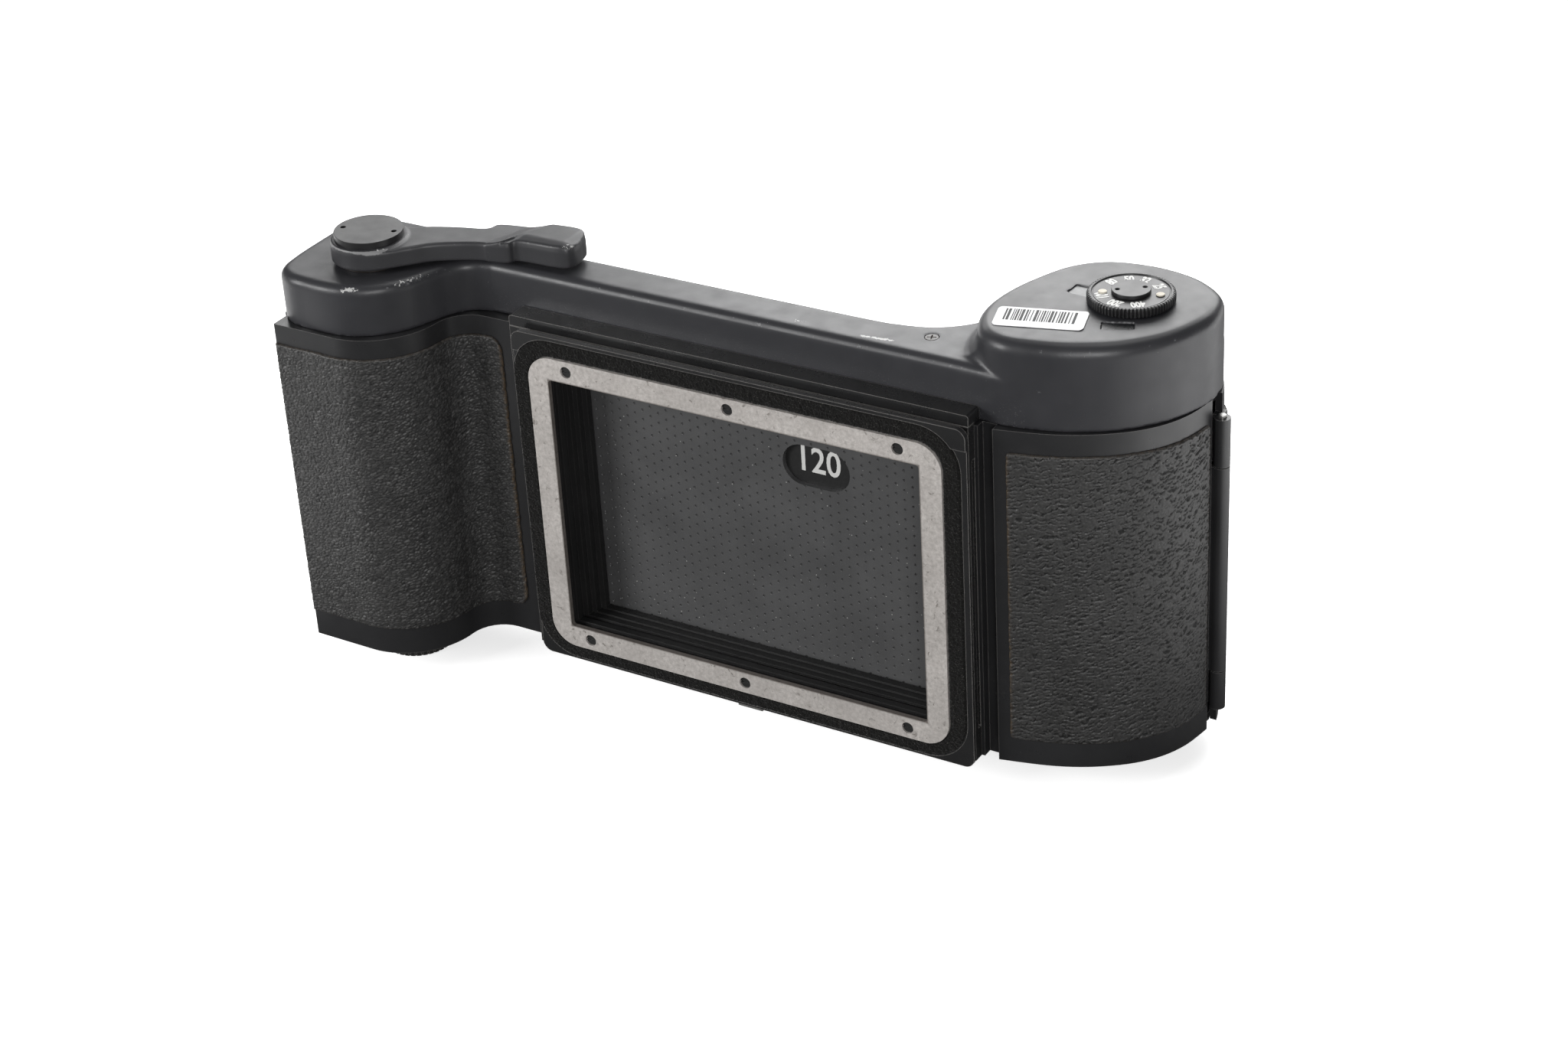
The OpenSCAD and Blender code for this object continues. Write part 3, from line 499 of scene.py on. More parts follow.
def plate_silver():
    """Mottled, stained plate with a brown rim round its opening."""
    opening_half_x, opening_half_z, rim_width = 41.65, 28.5, 0.35
    m = Shader("plate_silver")
    colour = m.mottled((0.52, 0.49, 0.465), (0.66, 0.625, 0.595),
                       scale=0.09, detail=5, rough=0.6)
    mottle = m.ramp(m.noise(scale=1.1, detail=4, rough=0.7), (0.35, 0.7), to=(0, 0.75))
    colour = m.mix(mottle, colour, (0.33, 0.305, 0.285))
    speck = m.patches(0.60, 0.70, scale=3.6, detail=3, rough=0.7)
    colour = m.mix(m.times(speck, 0.35), colour, (0.14, 0.125, 0.11))
    stain = m.patches(0.60, 0.70, scale=0.55, detail=4, rough=0.65, distortion=1.2)
    colour = m.mix(m.times(stain, 0.7), colour, (0.10, 0.085, 0.07))
    # long scratches along x and z
    colour = m.scratched(
        colour, tint=(0.12, 0.11, 0.10), strength=0.5,
        lines=(((0.05, 1.0, 2.4), 0.55), ((2.4, 1.0, 0.05), 0.44)),
        rough=0.5, distortion=0.3, width=0.005, patch=0.2, span=(0.52, 0.62))
    x, _, z = m.node("ShaderNodeSeparateXYZ", {0: m.place}).outputs
    from_opening = m.calc("MAXIMUM",
                          m.calc("SUBTRACT", m.calc("ABSOLUTE", x), opening_half_x),
                          m.calc("SUBTRACT", m.calc("ABSOLUTE", z), opening_half_z))
    rim = m.ramp(from_opening, (0.0, rim_width), to=(0.75, 0.0))
    return m.surface(
        base_color=m.mix(rim, colour, (0.055, 0.04, 0.03)), metallic=0.3,
        roughness=m.varied(0.40, 0.60, scale=1.8, detail=4, rough=0.65),
        normal=m.bump(m.noise(scale=4.5, detail=3, rough=0.65), strength=0.12, depth=0.04))


def leatherette(name, tone):
    """Painted shade in the creases, lighter tops that are part wear and part painted highlight,
    glue marks and lint, led by the mesh's attributes.
    """
    m = Shader(name)
    height = m.attribute("h")

    def shade(factor):
        return tuple(t * factor for t in tone)

    colour = m.mottled(shade(0.85), shade(1.2), scale=0.07, detail=3, rough=0.6)
    # painted shade: low grain tone, in the creases, is darkened almost to black
    colour = m.mix(m.ramp(height, (0.05, 0.50), to=(0.92, 0.0)), colour, 0.003)
    # painted highlight, with some wear: high grain tone, on the pebble tops, is lightened
    colour = m.mix(m.ramp(height, (0.50, 1.0)), colour, shade(2.3))
    glue = m.times(m.attribute("glue"), m.patches(0.35, 0.6, scale=1.4, detail=4, rough=0.7))
    colour = m.mix(glue, colour, (0.085, 0.058, 0.034))
    lint = m.times(m.specks(scale=0.55, fade=(0.03, 0.05)), 0.5)
    colour = m.mix(lint, colour, (0.4, 0.39, 0.37))
    rough = m.add(m.varied(0.40, 0.52, scale=3.0, detail=3, rough=0.6),
                  m.times(m.ramp(height, (0.0, 0.5), to=(1.0, 0.0)), 0.25))
    return m.surface(
        base_color=colour, roughness=rough, specular_ior_level=0.5,
        normal=m.bump(m.noise(scale=6.0, detail=3, rough=0.7), strength=0.35, depth=0.05))


def flock():
    m = Shader("flock")
    fibres = m.noise(scale=5.0, detail=3, rough=0.7)
    colour = m.mix(m.ramp(fibres, (0.35, 0.7)), (0.0022, 0.0022, 0.0021),
                   (0.013, 0.0125, 0.0115))
    glint = m.times(m.specks(scale=2.6, fade=(0.06, 0.20)),
                    m.patches(0.42, 0.55, scale=1.3, rough=0.6))
    return m.surface(base_color=m.mix(glint, colour, (0.17, 0.165, 0.15)), roughness=0.75,
                     sheen_weight=0.10, sheen_roughness=0.4, specular_ior_level=0.12,
                     normal=m.bump(fibres, strength=0.8, depth=0.2))


def pressure_black():
    m = Shader("pressure_black")
    colour = m.mottled((0.070, 0.070, 0.071), (0.086, 0.086, 0.087),
                       scale=0.08, detail=4, rough=0.6)
    colour = m.scratched(
        colour, tint=0.2, strength=0.15,
        lines=(((0.9, 1.0, 0.03), 0.56), ((0.05, 1.0, 1.1), 0.43)),
        rough=0.5, distortion=0.5, width=0.003, patch=0.1, span=(0.52, 0.62))
    speck = m.times(m.specks(scale=0.5, fade=(0.04, 0.07)), 0.8)
    return m.surface(
        base_color=m.mix(speck, colour, (0.5, 0.5, 0.48)), metallic=0.15,
        roughness=m.varied(0.33, 0.42, scale=0.5, detail=4, rough=0.6),
        normal=m.bump(m.noise(scale=5, rough=0.6), strength=0.08, depth=0.03))


def plain(name, dark, light, roughness, scale, grain, coat=0.0):
    """Two close tones and a light tooth, all from noise of one base scale."""
    m = Shader(name)
    colour = m.mottled(dark, light, 0.3, 0.7, scale=scale, detail=4, rough=0.65)
    rough = m.varied(roughness - 0.05, roughness + 0.06, scale=scale * 2.3, detail=3,
                     rough=0.6)
    tooth = m.noise(scale=scale * 3, detail=3, rough=0.6)
    return m.surface(base_color=colour, roughness=rough, coat_weight=coat,
                     normal=m.bump(tooth, strength=grain, depth=0.04))


def studio_floor():
    """White to the camera; grey with two bright side patches to everything else."""
    m = Shader("studio_floor", world=True)
    seen = m.node("ShaderNodeLightPath").outputs["Is Camera Ray"]
    tone = m.mottled(0.93, 0.955, 0.3, 0.7, scale=0.004, detail=3, rough=0.6)
    m.surface(base_color=m.mix(seen, 0.16, tone), roughness=0.9, specular_ior_level=0.1)
    x, y, _ = m.node("ShaderNodeSeparateXYZ", {0: m.place}).outputs
    right = m.times(m.ramp(x, (105, 230)), m.ramp(y, (-150, -40)))
    left = m.times(m.ramp(x, (-105, -170)), m.ramp(y, (-160, -60)))
    glow = m.add(m.times(right, 2.4), m.times(left, 1.5))
    glow = m.times(glow, m.calc("SUBTRACT", 1.0, seen))
    emission = m.node("ShaderNodeEmission", {
        "Color": (1, 1, 1, 1), "Strength": m.add(m.times(seen, 0.62), glow)})
    both = m.node("ShaderNodeAddShader", {0: m.bsdf.outputs[0], 1: emission.outputs[0]})
    m.tree.links.new(both.outputs[0], m.output.inputs["Surface"])
    return m.material


# name, dark and light tone, roughness, grain, wear, rubbed colour, edge width, dust, scratches
PAINTS = {
    "cover": ("cover_paint", (0.026, 0.0262, 0.0295), (0.031, 0.0312, 0.035), 0.40,
              0.10, -0.32, (0.20, 0.20, 0.205), None, 0.6, 0.4),
    "lever": ("lever_paint", (0.03, 0.0302, 0.033), (0.036, 0.036, 0.039), 0.44,
              0.12, -0.05, 0.26, None, 0.5, 0.3),
    "body": ("body_paint", (0.016, 0.016, 0.017), (0.021, 0.021, 0.022), 0.31,
             0.05, 0.72, (0.16, 0.155, 0.15), 0.3, 0.4),
    "frame": ("frame_paint", (0.012, 0.012, 0.0125), 0.018, 0.28,
              0.06, 0.95, (0.26, 0.25, 0.24), 0.32, 0.5, 0.8),
    "baffle": ("baffle_black", 0.006, 0.010, 0.55,
               0.2, 0.2, (0.05, 0.05, 0.048), 0.2, 0.2, 0),
    "door": ("door_paint", (0.016, 0.016, 0.017), (0.021, 0.021, 0.022), 0.30,
             0.05, 0.6, (0.16, 0.155, 0.15), 0.3, 0.3),
    "hinge": ("hinge_black", 0.014, 0.02, 0.36, 0.08, 0.7, (0.25, 0.24, 0.22), 0.25, 0.3),
    "dial": ("dial_black", (0.012, 0.012, 0.0125), (0.017, 0.017, 0.018), 0.36,
             0.10, 0.35, 0.12, 0.18, 0.3),
    "oxide": ("black_oxide", (0.014, 0.012, 0.011), (0.022, 0.018, 0.015), 0.34,
              0.1, 0.6, (0.18, 0.14, 0.11), 0.2, 0.2, 0),
}
# name, dark and light tone, roughness, noise scale, grain, coat
PLAINS = {
    "window": ("window_pane", (0.13, 0.134, 0.136), (0.17, 0.175, 0.178), 0.34, 0.6, 0.02),
    "dark_window": ("window_dark", (0.008, 0.009, 0.010), (0.016, 0.017, 0.018),
                    0.3, 0.6, 0.02),
    "plastic": ("spool_plastic", (0.018, 0.018, 0.019), (0.028, 0.028, 0.029),
                0.42, 1.0, 0.08),
    "white": ("numeral_white", (0.50, 0.50, 0.49), (0.62, 0.62, 0.60), 0.5, 5.0, 0.1),
    "digit": ("figure_paint", (0.74, 0.74, 0.72), (0.86, 0.86, 0.84), 0.5, 5.0, 0.1),
    "red": ("pointer_red", (0.40, 0.02, 0.02), (0.52, 0.03, 0.03), 0.45, 5.0, 0.1),
    "paper": ("label_paper", (0.60, 0.60, 0.61), (0.66, 0.66, 0.67), 0.36, 0.8, 0.05, 0.3),
    "ink": ("label_ink", 0.004, 0.010, 0.6, 6.0, 0.05),
    "index": ("index_black", 0.008, 0.013, 0.45, 1.5, 0.08),
}
MAT = {key: paint(*row) for key, row in PAINTS.items()}
MAT["steel"] = metal("bright_steel", dark=(0.45, 0.45, 0.44), light=(0.58, 0.57, 0.55),
                     roughness=0.3)
MAT["brass"] = metal("gear_brass", dark=(0.50, 0.36, 0.14), light=(0.62, 0.46, 0.2),
                     roughness=0.32, stain=(0.1, 0.06, 0.02))
MAT["nickel"] = metal("rivet_nickel", dark=(0.50, 0.46, 0.38), light=(0.62, 0.58, 0.49),
                      roughness=0.45, stain=(0.25, 0.2, 0.12), stretch=(9.0, 9.0, 9.0),
                      metallic=0.15)
MAT["silver"] = plate_silver()
MAT["leather_left"] = leatherette("leatherette_fine", tone=(0.030, 0.0295, 0.029))
MAT["leather_right"] = leatherette("leatherette_coarse", tone=(0.026, 0.0255, 0.025))
MAT["leather_door"] = leatherette("leatherette_door", tone=(0.022, 0.0215, 0.021))
MAT["flock"] = flock()
MAT["pressure"] = pressure_black()
MAT.update({key: plain(*row) for key, row in PLAINS.items()})
MAT["floor"] = studio_floor()

# ---------------------------------------------------------------- wear masks
# start, end, radius, strength of each scuffed stroke
COVER_SCUFFS = (
    ((-79.5, -13.6, 46.6), (-77.0, -12.6, 46.7), 0.9, 1.0),
    ((-91, -13.5, 46.6), (-90, -13.7, 46.4), 0.6, 0.8),
    ((-71.0, -7.2, 46.8), (-68.4, -2.0, 46.9), 1.0, 0.9),
    ((-67.8, -1.5, 46.8), (-67.0, 0.5, 46.9), 0.8, 1.0),
    ((24.6, 10.2, 47.3), (31.0, 10.9, 47.3), 0.5, 1.35),
    ((10, 10.6, 47.3), (12, 11, 47.3), 0.7, 0.85),
    ((49.6, 12.0, 47.6), (50.6, 9.5, 47.6), 0.7, 0.8),
    ((62.5, 9.4, 52.2), (63, 9.6, 52.0), 0.5, 0.9),
    ((73.8, 14.0, 52.2), (74.6, 14.5, 52.3), 0.7, 0.8),
    ((70.5, 12.0, 52.6), (71.5, 12.6, 52.5), 0.5, 0.8),
    ((80.5, 20.5, 52.3), (81, 21, 52.3), 0.5, 0.8),
    ((-35, 8.4, 46.5), (-33, 8.4, 46.6), 0.5, 0.8),
    ((62, 8.2, 45), (62.6, 8.3, 44.6), 0.4, 0.8),
    ((-60, 7.6, 46.2), (-58, 7.7, 46.2), 0.6, 0.55),
    ((-98, 8, 46.5), (-98, 12, 46.5), 0.8, 0.8),
    ((60, 48.6, 52.2), (66, 49.0, 52.2), 0.7, 0.7),
    ((-40, 18.1, 46.7), (-20, 18.1, 46.7), 0.5, 0.6),
)
LEVER_SCUFFS = (
    ((-42.2, 10.6, 52.6), (-41.4, 11.6, 52.4), 0.9, 1.0),
    ((-41.4, 13.5, 52.4), (-41.6, 14.8, 52.3), 0.7, 0.9),
    ((-60, 13, 52.3), (-59.5, 13.2, 52.3), 0.35, 0.8),
    ((-76.5, -5.8, 52.3), (-75, -4.2, 52.3), 0.5, 0.8),
)


def scuff_mask(points, strokes):
    mask = np.zeros(len(points))
    for start, end, radius, strength in strokes:
        start, end = np.array(start, float), np.array(end, float)
        line = end - start
        t = np.clip(((points - start) @ line) / (line @ line), 0, 1)
        distance = np.linalg.norm(points - start - t[:, None] * line, axis=1)
        mask = np.maximum(mask, strength * np.exp(-(distance / radius) ** 2))
    return mask


def upper_edges(points, faces, least):
    """Mask of rounded edges that face part way up."""
    up = vertex_normals(points, faces)[:, 2]
    return np.clip(4 * up * (1 - up), 0, 1) * (up > least)


# ---------------------------------------------------------------- top cover
def turned(x, y, centre, degrees):
    a = math.radians(degrees)
    dx, dy = x - centre[0], y - centre[1]
    return dx * math.cos(a) + dy * math.sin(a), -dx * math.sin(a) + dy * math.cos(a)


def build_top_cover():
    low_top = 47.3
    step = 0.40
    start = (-99.73, -15.83, 35.93)
    x, y, z = field_grid(start, (88.0, 50.6, 54.9), step)
    low, high = polygon_distance(COVER_LOW, x, y), polygon_distance(COVER_HIGH, x, y)
    outside = smooth_union(slab(low, z, 10, low_top, top_radius=1.9),
                           slab(high, z, 10, COVER_TOP, top_radius=2.6),
                           4.2 * smooth_step(0.2, 3.2, -low))
    hollow = np.minimum(slab(low + 1.6, z, 0, 45.5),
                        slab(high + 2.2, z, 0, 52.2, top_radius=0.4))
    field = np.maximum(np.maximum(outside, -hollow), COVER_BOTTOM - z)
    # outline, bottom, top of each opening
    openings = [
        (box_distance(x + 0.65, y - 3.75, 51.55, 3.8), 30, 39.7),
        (axis_distance(x, y, LEVER_AXIS) - 5.5, 40, 50),
        (axis_distance(x, y, DIAL_AXIS) - 1.55, 50, 60),
        (box_distance(*turned(x, y, (59.9, 32.4), -3), 2.4, 1.9, 0.25), 50, 60),
        (box_distance(*turned(x, y, (72.1, 21.6), 22), 3.0, 1.5, 0.25), 50, 60),
    ]
    # two small stepped holes
    for centre in ((36.8, 15.4), (-58, 13.5)):
        radius = axis_distance(x, y, centre)
        openings += [(radius - 0.75, 40, 50), (radius - 1.38, 46.5, 50)]
    for outline, bottom, top in openings:
        field = np.maximum(field, -slab(outline, z, bottom, top))
    points, faces = surface_nets(field, start, step)

    x, y, z = points.T
    low = polygon_distance(COVER_LOW, x, y)
    edge = np.where(z > 44.5, upper_edges(points, faces, 0.1), 0)
    edge = edge * smooth_step(3.6, 2.4, -low)
    bottom_rim = np.exp(-((z - 36.7) / 0.5) ** 2) * (low > -0.8)
    # dust low on the front recess and round the lever hub
    dust = smooth_step(11.5, 7.0, y) * smooth_step(44.5, 38.5, z) * (x > -60) * (x < 60)
    hub = axis_distance(x, y, LEVER_AXIS)
    dust = np.maximum(dust, 0.9 * smooth_step(12.5, 8.4, hub) * (z > 46.5) * (hub > 6))
    make("top_cover_shell", points, faces, "body", "cover", ("top_cover",),
         sharp=46, attributes={"edge": np.clip(edge + bottom_rim, 0, 1),
                               "scuff": scuff_mask(points, COVER_SCUFFS),
                               "dust": np.clip(dust, 0, 1)})


build_top_cover()


# ---------------------------------------------------------------- wind lever
def build_lever():
    bottom, top, hub_top = 48.2, 52.15, 52.5
    hub_radius, hole_radius = 7.8, 3.4
    step = 0.2
    start = (-90.33, -8.93, 47.93)
    x, y, z = field_grid(start, (-40.6, 19.4, 53.9), step)
    hub_distance = axis_distance(x, y, LEVER_AXIS)
    outline = smooth_union(polygon_distance(LEVER_ARM, x, y), hub_distance - 7.75, 2.2)
    arm = slab(outline, z, bottom, top, 0.75, 0.45)
    hub = slab(hub_distance - hub_radius, z, bottom, hub_top, 0.35, 0.45)
    # raised pad: a ramp across the arm leads up to it, and it falls off at the tip and front
    ramp_angle = math.radians(-22)
    along = (x + 55.6) * math.cos(ramp_angle) + (y - 12.6) * math.sin(ramp_angle)
    pad_top = top + 1.15 * np.clip((along + 0.2) / 3.6, 0, 1)
    pad_top = (pad_top - 0.5 * smooth_step(-43.4, -41.2, x)
               - 0.55 * smooth_step(12.0, 9.3, y) * (along > 2))
    pad = np.maximum(slab(outline, z, bottom, pad_top, 0.55, 0.45), -along - 0.4)
    field = smooth_union(smooth_union(arm, pad, 0.5), hub, 0.6)
    field = np.maximum(field, -slab(hub_distance - hole_radius, z, 40, 60))
    points, faces = surface_nets(field, start, step)

    edge = upper_edges(points, faces, 0.12)
    radius = axis_distance(points[:, 0], points[:, 1], LEVER_AXIS)
    # the hub's rim gets a stronger edge mask, so its lighter ring is part wear and part painted
    # highlight; the rest of the lever's edges are weakened
    edge = np.where((radius > 7.2) & (radius < 8.1), np.clip(edge * 1.6, 0, 1.6), edge * 0.8)
    make("wind_lever_arm", points, faces, "lever", "lever", ("wind_lever",),
         sharp=46, attributes={"edge": edge, "scuff": scuff_mask(points, LEVER_SCUFFS),
                               "dust": smooth_step(50.0, 48.4, points[:, 2]) * 0.8})


build_lever()


# ---------------------------------------------------------------- leather coverings
def soften(rows, passes):
    for _ in range(passes):
        rows[1:-1] = 0.25 * rows[:-2] + 0.5 * rows[1:-1] + 0.25 * rows[2:]


def wall_line(path, step):
    """Evenly spaced points, outward normals and lengths along a path with eased corners."""
    path = np.array(path, float)
    length = np.r_[0, np.cumsum(np.linalg.norm(np.diff(path, axis=0), axis=1))]
    along = np.linspace(0, length[-1], max(int(length[-1] / step), 2) + 1)
    line = np.stack([np.interp(along, length, path[:, k]) for k in (0, 1)], 1)
    soften(line, 6)
    tangent = np.gradient(line, axis=0)
    tangent /= np.linalg.norm(tangent, axis=1)[:, None]
    normal = np.stack([tangent[:, 1], -tangent[:, 0]], 1)
    soften(normal, int(1.2 / step))
    normal /= np.linalg.norm(normal, axis=1)[:, None]
    return line, normal, along


def covering(name, path, node, material, grain, steps, middle, half_height, corners, ragged,
             glue, seed, body="body"):
    """Grained sheet on an upright wall, closed at the back and round its edges.

    Steps are along the wall and up it. Corners, ragged and glue are given for the
    start and the end of the path.
    """
    thickness, back_gap, edge_round = 0.58, 0.015, 0.45
    line, normal, along = wall_line(path, steps[0])
    columns, length = len(along), along[-1]
    rows = int(2 * half_height / steps[1]) + 1
    half = np.full(columns, float(half_height))
    for inset, r in ((along, corners[0]), (length - along, corners[1])):
        if r > 0:
            near = inset < r
            rounded = half_height - r + np.sqrt(np.maximum(r * r - (r - inset[near]) ** 2, 0))
            half[near] = np.minimum(half[near], rounded)
    s = np.repeat(along[:, None], rows, 1)
    height = np.linspace(-1, 1, rows)[None, :] * half[:, None]
    # slightly uneven trimmed edges
    jag = fractal_noise(height * 0.9, np.full_like(s, 3.1), seed, 3) - 0.5
    reach = smooth_step(2.0, 0.0, s) * ragged[0] + smooth_step(2.0, 0.0, length - s) * ragged[1]
    s_cut = s + jag * reach * np.where(s < length / 2, 1, -1)
    wave = fractal_noise(s * 0.8, np.full_like(height, 7.7), seed + 5, 3) - 0.5
    near_rim = smooth_step(half_height - 1.5, half_height, np.abs(height))
    z = height + wave * 0.22 * near_rim + middle
    relief, tone = grain(s_cut, z)
    inset = np.minimum(np.minimum(s, length - s), half[:, None] - np.abs(height))
    profile = np.sqrt(np.clip(1 - (1 - np.clip(inset / edge_round, 0, 1)) ** 2, 0, 1))
    lift = thickness * (0.25 + 0.75 * profile) + relief * profile

    def raised(offset):
        x, y = [np.interp(s_cut, along, line[:, k]) + normal[:, k][:, None] * offset
                for k in (0, 1)]
        return np.stack([x, y, z], 2).reshape(-1, 3)

    front = raised(lift)
    rim = grid_rim(columns, rows)
    back = raised(back_gap)[rim]
    first, count = len(front), len(rim)
    faces = [(i * rows + j, (i + 1) * rows + j, (i + 1) * rows + j + 1, i * rows + j + 1)
             for i in range(columns - 1) for j in range(rows - 1)]
    faces += wall_faces(rim, range(first, first + count))

    def low(i):
        return first + i

    def high(i):
        return first + (columns - 1) + (rows - 1) + (columns - 1 - i)

    # back: strips from bottom to top, and one many-sided face at each end
    faces += [(low(i + 1), low(i), high(i), high(i + 1)) for i in range(1, columns - 2)]
    end_side = [first + k for k in range(columns - 1, columns + rows - 1)]
    faces.append([high(columns - 2)] + end_side[::-1] + [low(columns - 2)])
    start_side = [first + count - k for k in range(1, rows - 1)]
    faces.append([low(1), low(0)] + start_side + [high(0), high(1)])

    smear = (glue[0] * np.exp(-(s / 0.5) ** 2) + glue[1] * np.exp(-((length - s) / 0.5) ** 2)
             + 0.35 * np.exp(-(inset / 0.25) ** 2))
    # h holds the grain's tone, with its painted shade in the creases and painted highlight on
    # the tops
    make(name, np.concatenate([front, back]), faces, body, material, (node,),
         attributes={
             "h": np.concatenate([tone.reshape(-1), np.zeros(count)]),
             "glue": np.concatenate([np.clip(smear, 0, 1).reshape(-1), np.full(count, 0.8)])})


def slanted(s, z, amount, scale, shift, seed, degrees):
    """Wall coordinates warped by noise and turned so the grain runs at a slant."""
    x = s + amount * (fractal_noise(s * scale, z * scale, seed, 2) - 0.5)
    y = z + amount * (fractal_noise(s * scale + shift, z * scale, seed + 1, 2) - 0.5)
    a = math.radians(degrees)
    return x * math.cos(a) + y * math.sin(a), -x * math.sin(a) + y * math.cos(a)


def grain_fine(s, z):
    """Relief and tone of small pebbles drawn out into slanting rows."""
    u, w = slanted(s, z, 1.0, 0.5, 9, 11, 17)
    first, second, value, _, off = cell_pattern(u / 1.05, w / 0.50, 21, 0.98)
    small1, small2 = cell_pattern(u / 0.52 + 5, w / 0.40, 22, 0.95)[:2]
    crease = smooth_step(0.0, 0.42, second - first)
    fine = np.clip((small2 - small1) / 0.5, 0, 1)
    drift = fractal_noise(u / 0.9, w / 0.55, 31, 2)
    relief = (0.15 * (crease - 0.6) * (0.4 + 1.0 * value) + 0.07 * (fine - 0.5)
              + 0.10 * (drift - 0.5) + 0.05 * np.clip(off, -0.5, 0.5))
    # the tone is partly painted light: dark cell edges are painted shade in the creases, and
    # lighter cell middles and upper sides are painted highlight
    tone = (0.10 + 0.36 * crease * (0.5 + value) + 0.22 * (fine - 0.3)
            + 0.55 * (drift - 0.42) + 0.30 * np.clip(off, -0.4, 0.4) + 0.12)
    return relief, np.clip(tone, 0, 1)


def grain_coarse(s, z):
    """Relief and tone of broad pebbles parted by short creases along their lower edges."""
    u, w = slanted(s, z, 1.2, 0.4, 4, 41, 13)
    w = w + 0.22 * (value_noise(u * 1.3, w * 0.8, 45) - 0.5)
    first, second, value, across, off = cell_pattern(u / 1.28, w / 0.80, 51, 0.98)
    small1, small2, small_value = cell_pattern(u / 0.60 + 3, w / 0.46, 52, 0.95)[:3]
    gap = second - first
    low = smooth_step(0.08, -0.22, off)
    crease = (smooth_step(0.46, 0.12, gap) * low * smooth_step(0.15, 0.35, value)
              * smooth_step(0.62, 0.30, np.abs(across + 0.3 * (small_value - 0.5))))
    thin = (smooth_step(0.14, 0.0, gap) * (1 - low) * 0.3
            * smooth_step(0.4, 0.6, small_value))
    fine = np.clip((small2 - small1) / 0.45, 0, 1)
    drift = fractal_noise(s * 2.3, z * 2.6, 63, 2)
    relief = (-0.26 * crease - 0.08 * thin + 0.08 * (fine - 0.5) + 0.08 * (drift - 0.5)
              + 0.02 * np.clip(off, -0.4, 0.4))
    # the tone darkens the creases and thin partings as painted shade, on top of their real
    # grooves, and keeps the pebble tops light as painted highlight
    tone = (0.60 - 1.0 * crease - 0.35 * thin + 0.24 * (fine - 0.5) + 0.30 * (drift - 0.5)
            + 0.14 * (value - 0.5))
    return relief, np.clip(tone, 0, 1)


# x, y along each wall
LEFT_WALL = ([[-97.03, -15.5], [-92, -15.5]] + arc_points(LEVER_AXIS, 15.2, 272, 356, 40)
             + arc_points((-59.83, -1.7), 7.0, 176, 96, 16) + [[-56.2, 5.3]])
RIGHT_CURVE = open_spline([
    [54.2, 5.3], [62.5, 7.2], [68.3, 9.2], [73.6, 12], [78.6, 15.8], [82.4, 20.4],
    [84.9, 26], [86.2, 33]], 12)
RIGHT_WALL = [[56.8, 5.9]] + [p for p in RIGHT_CURVE if p[0] > 57.2 and p[1] < 32.2]
DOOR_CURVE = open_spline([
    [86.7, 36.3], [84.9, 41], [80.2, 45.5], [73.5, 48.2], [65.8, 48.9], [58, 47.2],
    [52, 42.3], [47.8, 35.4], [43.8, 28.8], [39.8, 24], [34.8, 20.9], [29, 19.7]], 12)
DOOR_WALL = DOOR_CURVE[4:] + [(22, 19.6), (-96.4, 19.6)]

coarser = 1.0
front_steps = (0.17 * coarser, 0.17 * coarser)
covering("leather_left_sheet", LEFT_WALL, "leather_left", "leather_left", grain_fine,
         front_steps, middle=0.9, half_height=31.4, corners=(0, 3.0), ragged=(0.1, 0.5),
         glue=(0, 1.0), seed=3)
covering("leather_right_sheet", RIGHT_WALL, "leather_right", "leather_right", grain_coarse,
         front_steps, middle=0.5, half_height=31.5, corners=(1.0, 1.0), ragged=(0.3, 0.2),
         glue=(0.9, 0.3), seed=5)
covering("door_leather_sheet", DOOR_WALL, "door_leather", "leather_door", grain_coarse,
         (0.34 * coarser, 0.3 * coarser), middle=0.0, half_height=31.0, corners=(1.5, 2.0),
         ragged=(0.3, 0.2), glue=(0.2, 0.2), seed=9, body="door")


# ---------------------------------------------------------------- flock ring
def rounded_rectangle(width, height, radius, middle_z, straight_steps, arc_steps):
    """x, z points; straight_steps are for the level and the upright sides."""
    arcs = [arc_points((sx * (width / 2 - radius), sz * (height / 2 - radius) + middle_z),
                       radius, start, start + 90, arc_steps)
            for sx, sz, start in ((1, 1, 0), (-1, 1, 90), (-1, -1, 180), (1, -1, 270))]
    out = []
    for i in range(4):
        out += arcs[i][:-1]
        a, b = arcs[i][-1], arcs[(i + 1) % 4][0]
        n = straight_steps[i % 2]
        out += [(a[0] + (b[0] - a[0]) * k / n, a[1] + (b[1] - a[1]) * k / n)
                for k in range(n)]
    return np.array(out)


def build_flock():
    back_y = 0.99
    density = 2
    counts = ((230 * density, 150 * density), 34 * density)
    outer = rounded_rectangle(100.2, 73.2, 9, 0.4, *counts)
    inner = rounded_rectangle(93.0, 66.8, 5.6, 0, *counts)
    around, across = len(outer), 9 * density

    def row(line, y):
        return np.stack([line[:, 0], y, line[:, 1]], 1)

    rows = [row(inner, np.full(around, back_y))]
    for j in range(across + 1):
        t = j / across
        line = inner * (1 - t) + outer * t
        from_edge = min(t, 1 - t) * 3.4
        tufts = 0.16 * (fractal_noise(line[:, 0] * 1.6, line[:, 1] * 1.6, 71, 2) - 0.5)
        fuzz = 0.34 * (lattice_hash(np.arange(around), np.full(around, j), 77) - 0.5)
        y = 0.26 + (tufts + fuzz) + 0.35 * max(0, 1 - from_edge / 0.35) ** 2
        rows.append(row(line, np.maximum(y, 0.03)))
    rows.append(row(outer, np.full(around, back_y)))
    i = np.arange(around)
    after = (i + 1) % around
    faces = []
    for j in range(len(rows)):
        a, b = j * around, (j + 1) % len(rows) * around
        faces.append(np.stack([a + i, a + after, b + after, b + i], 1))
    make("flock_ring", np.concatenate(rows), np.concatenate(faces), "body", "flock",
         ("light_seal",))


build_flock()


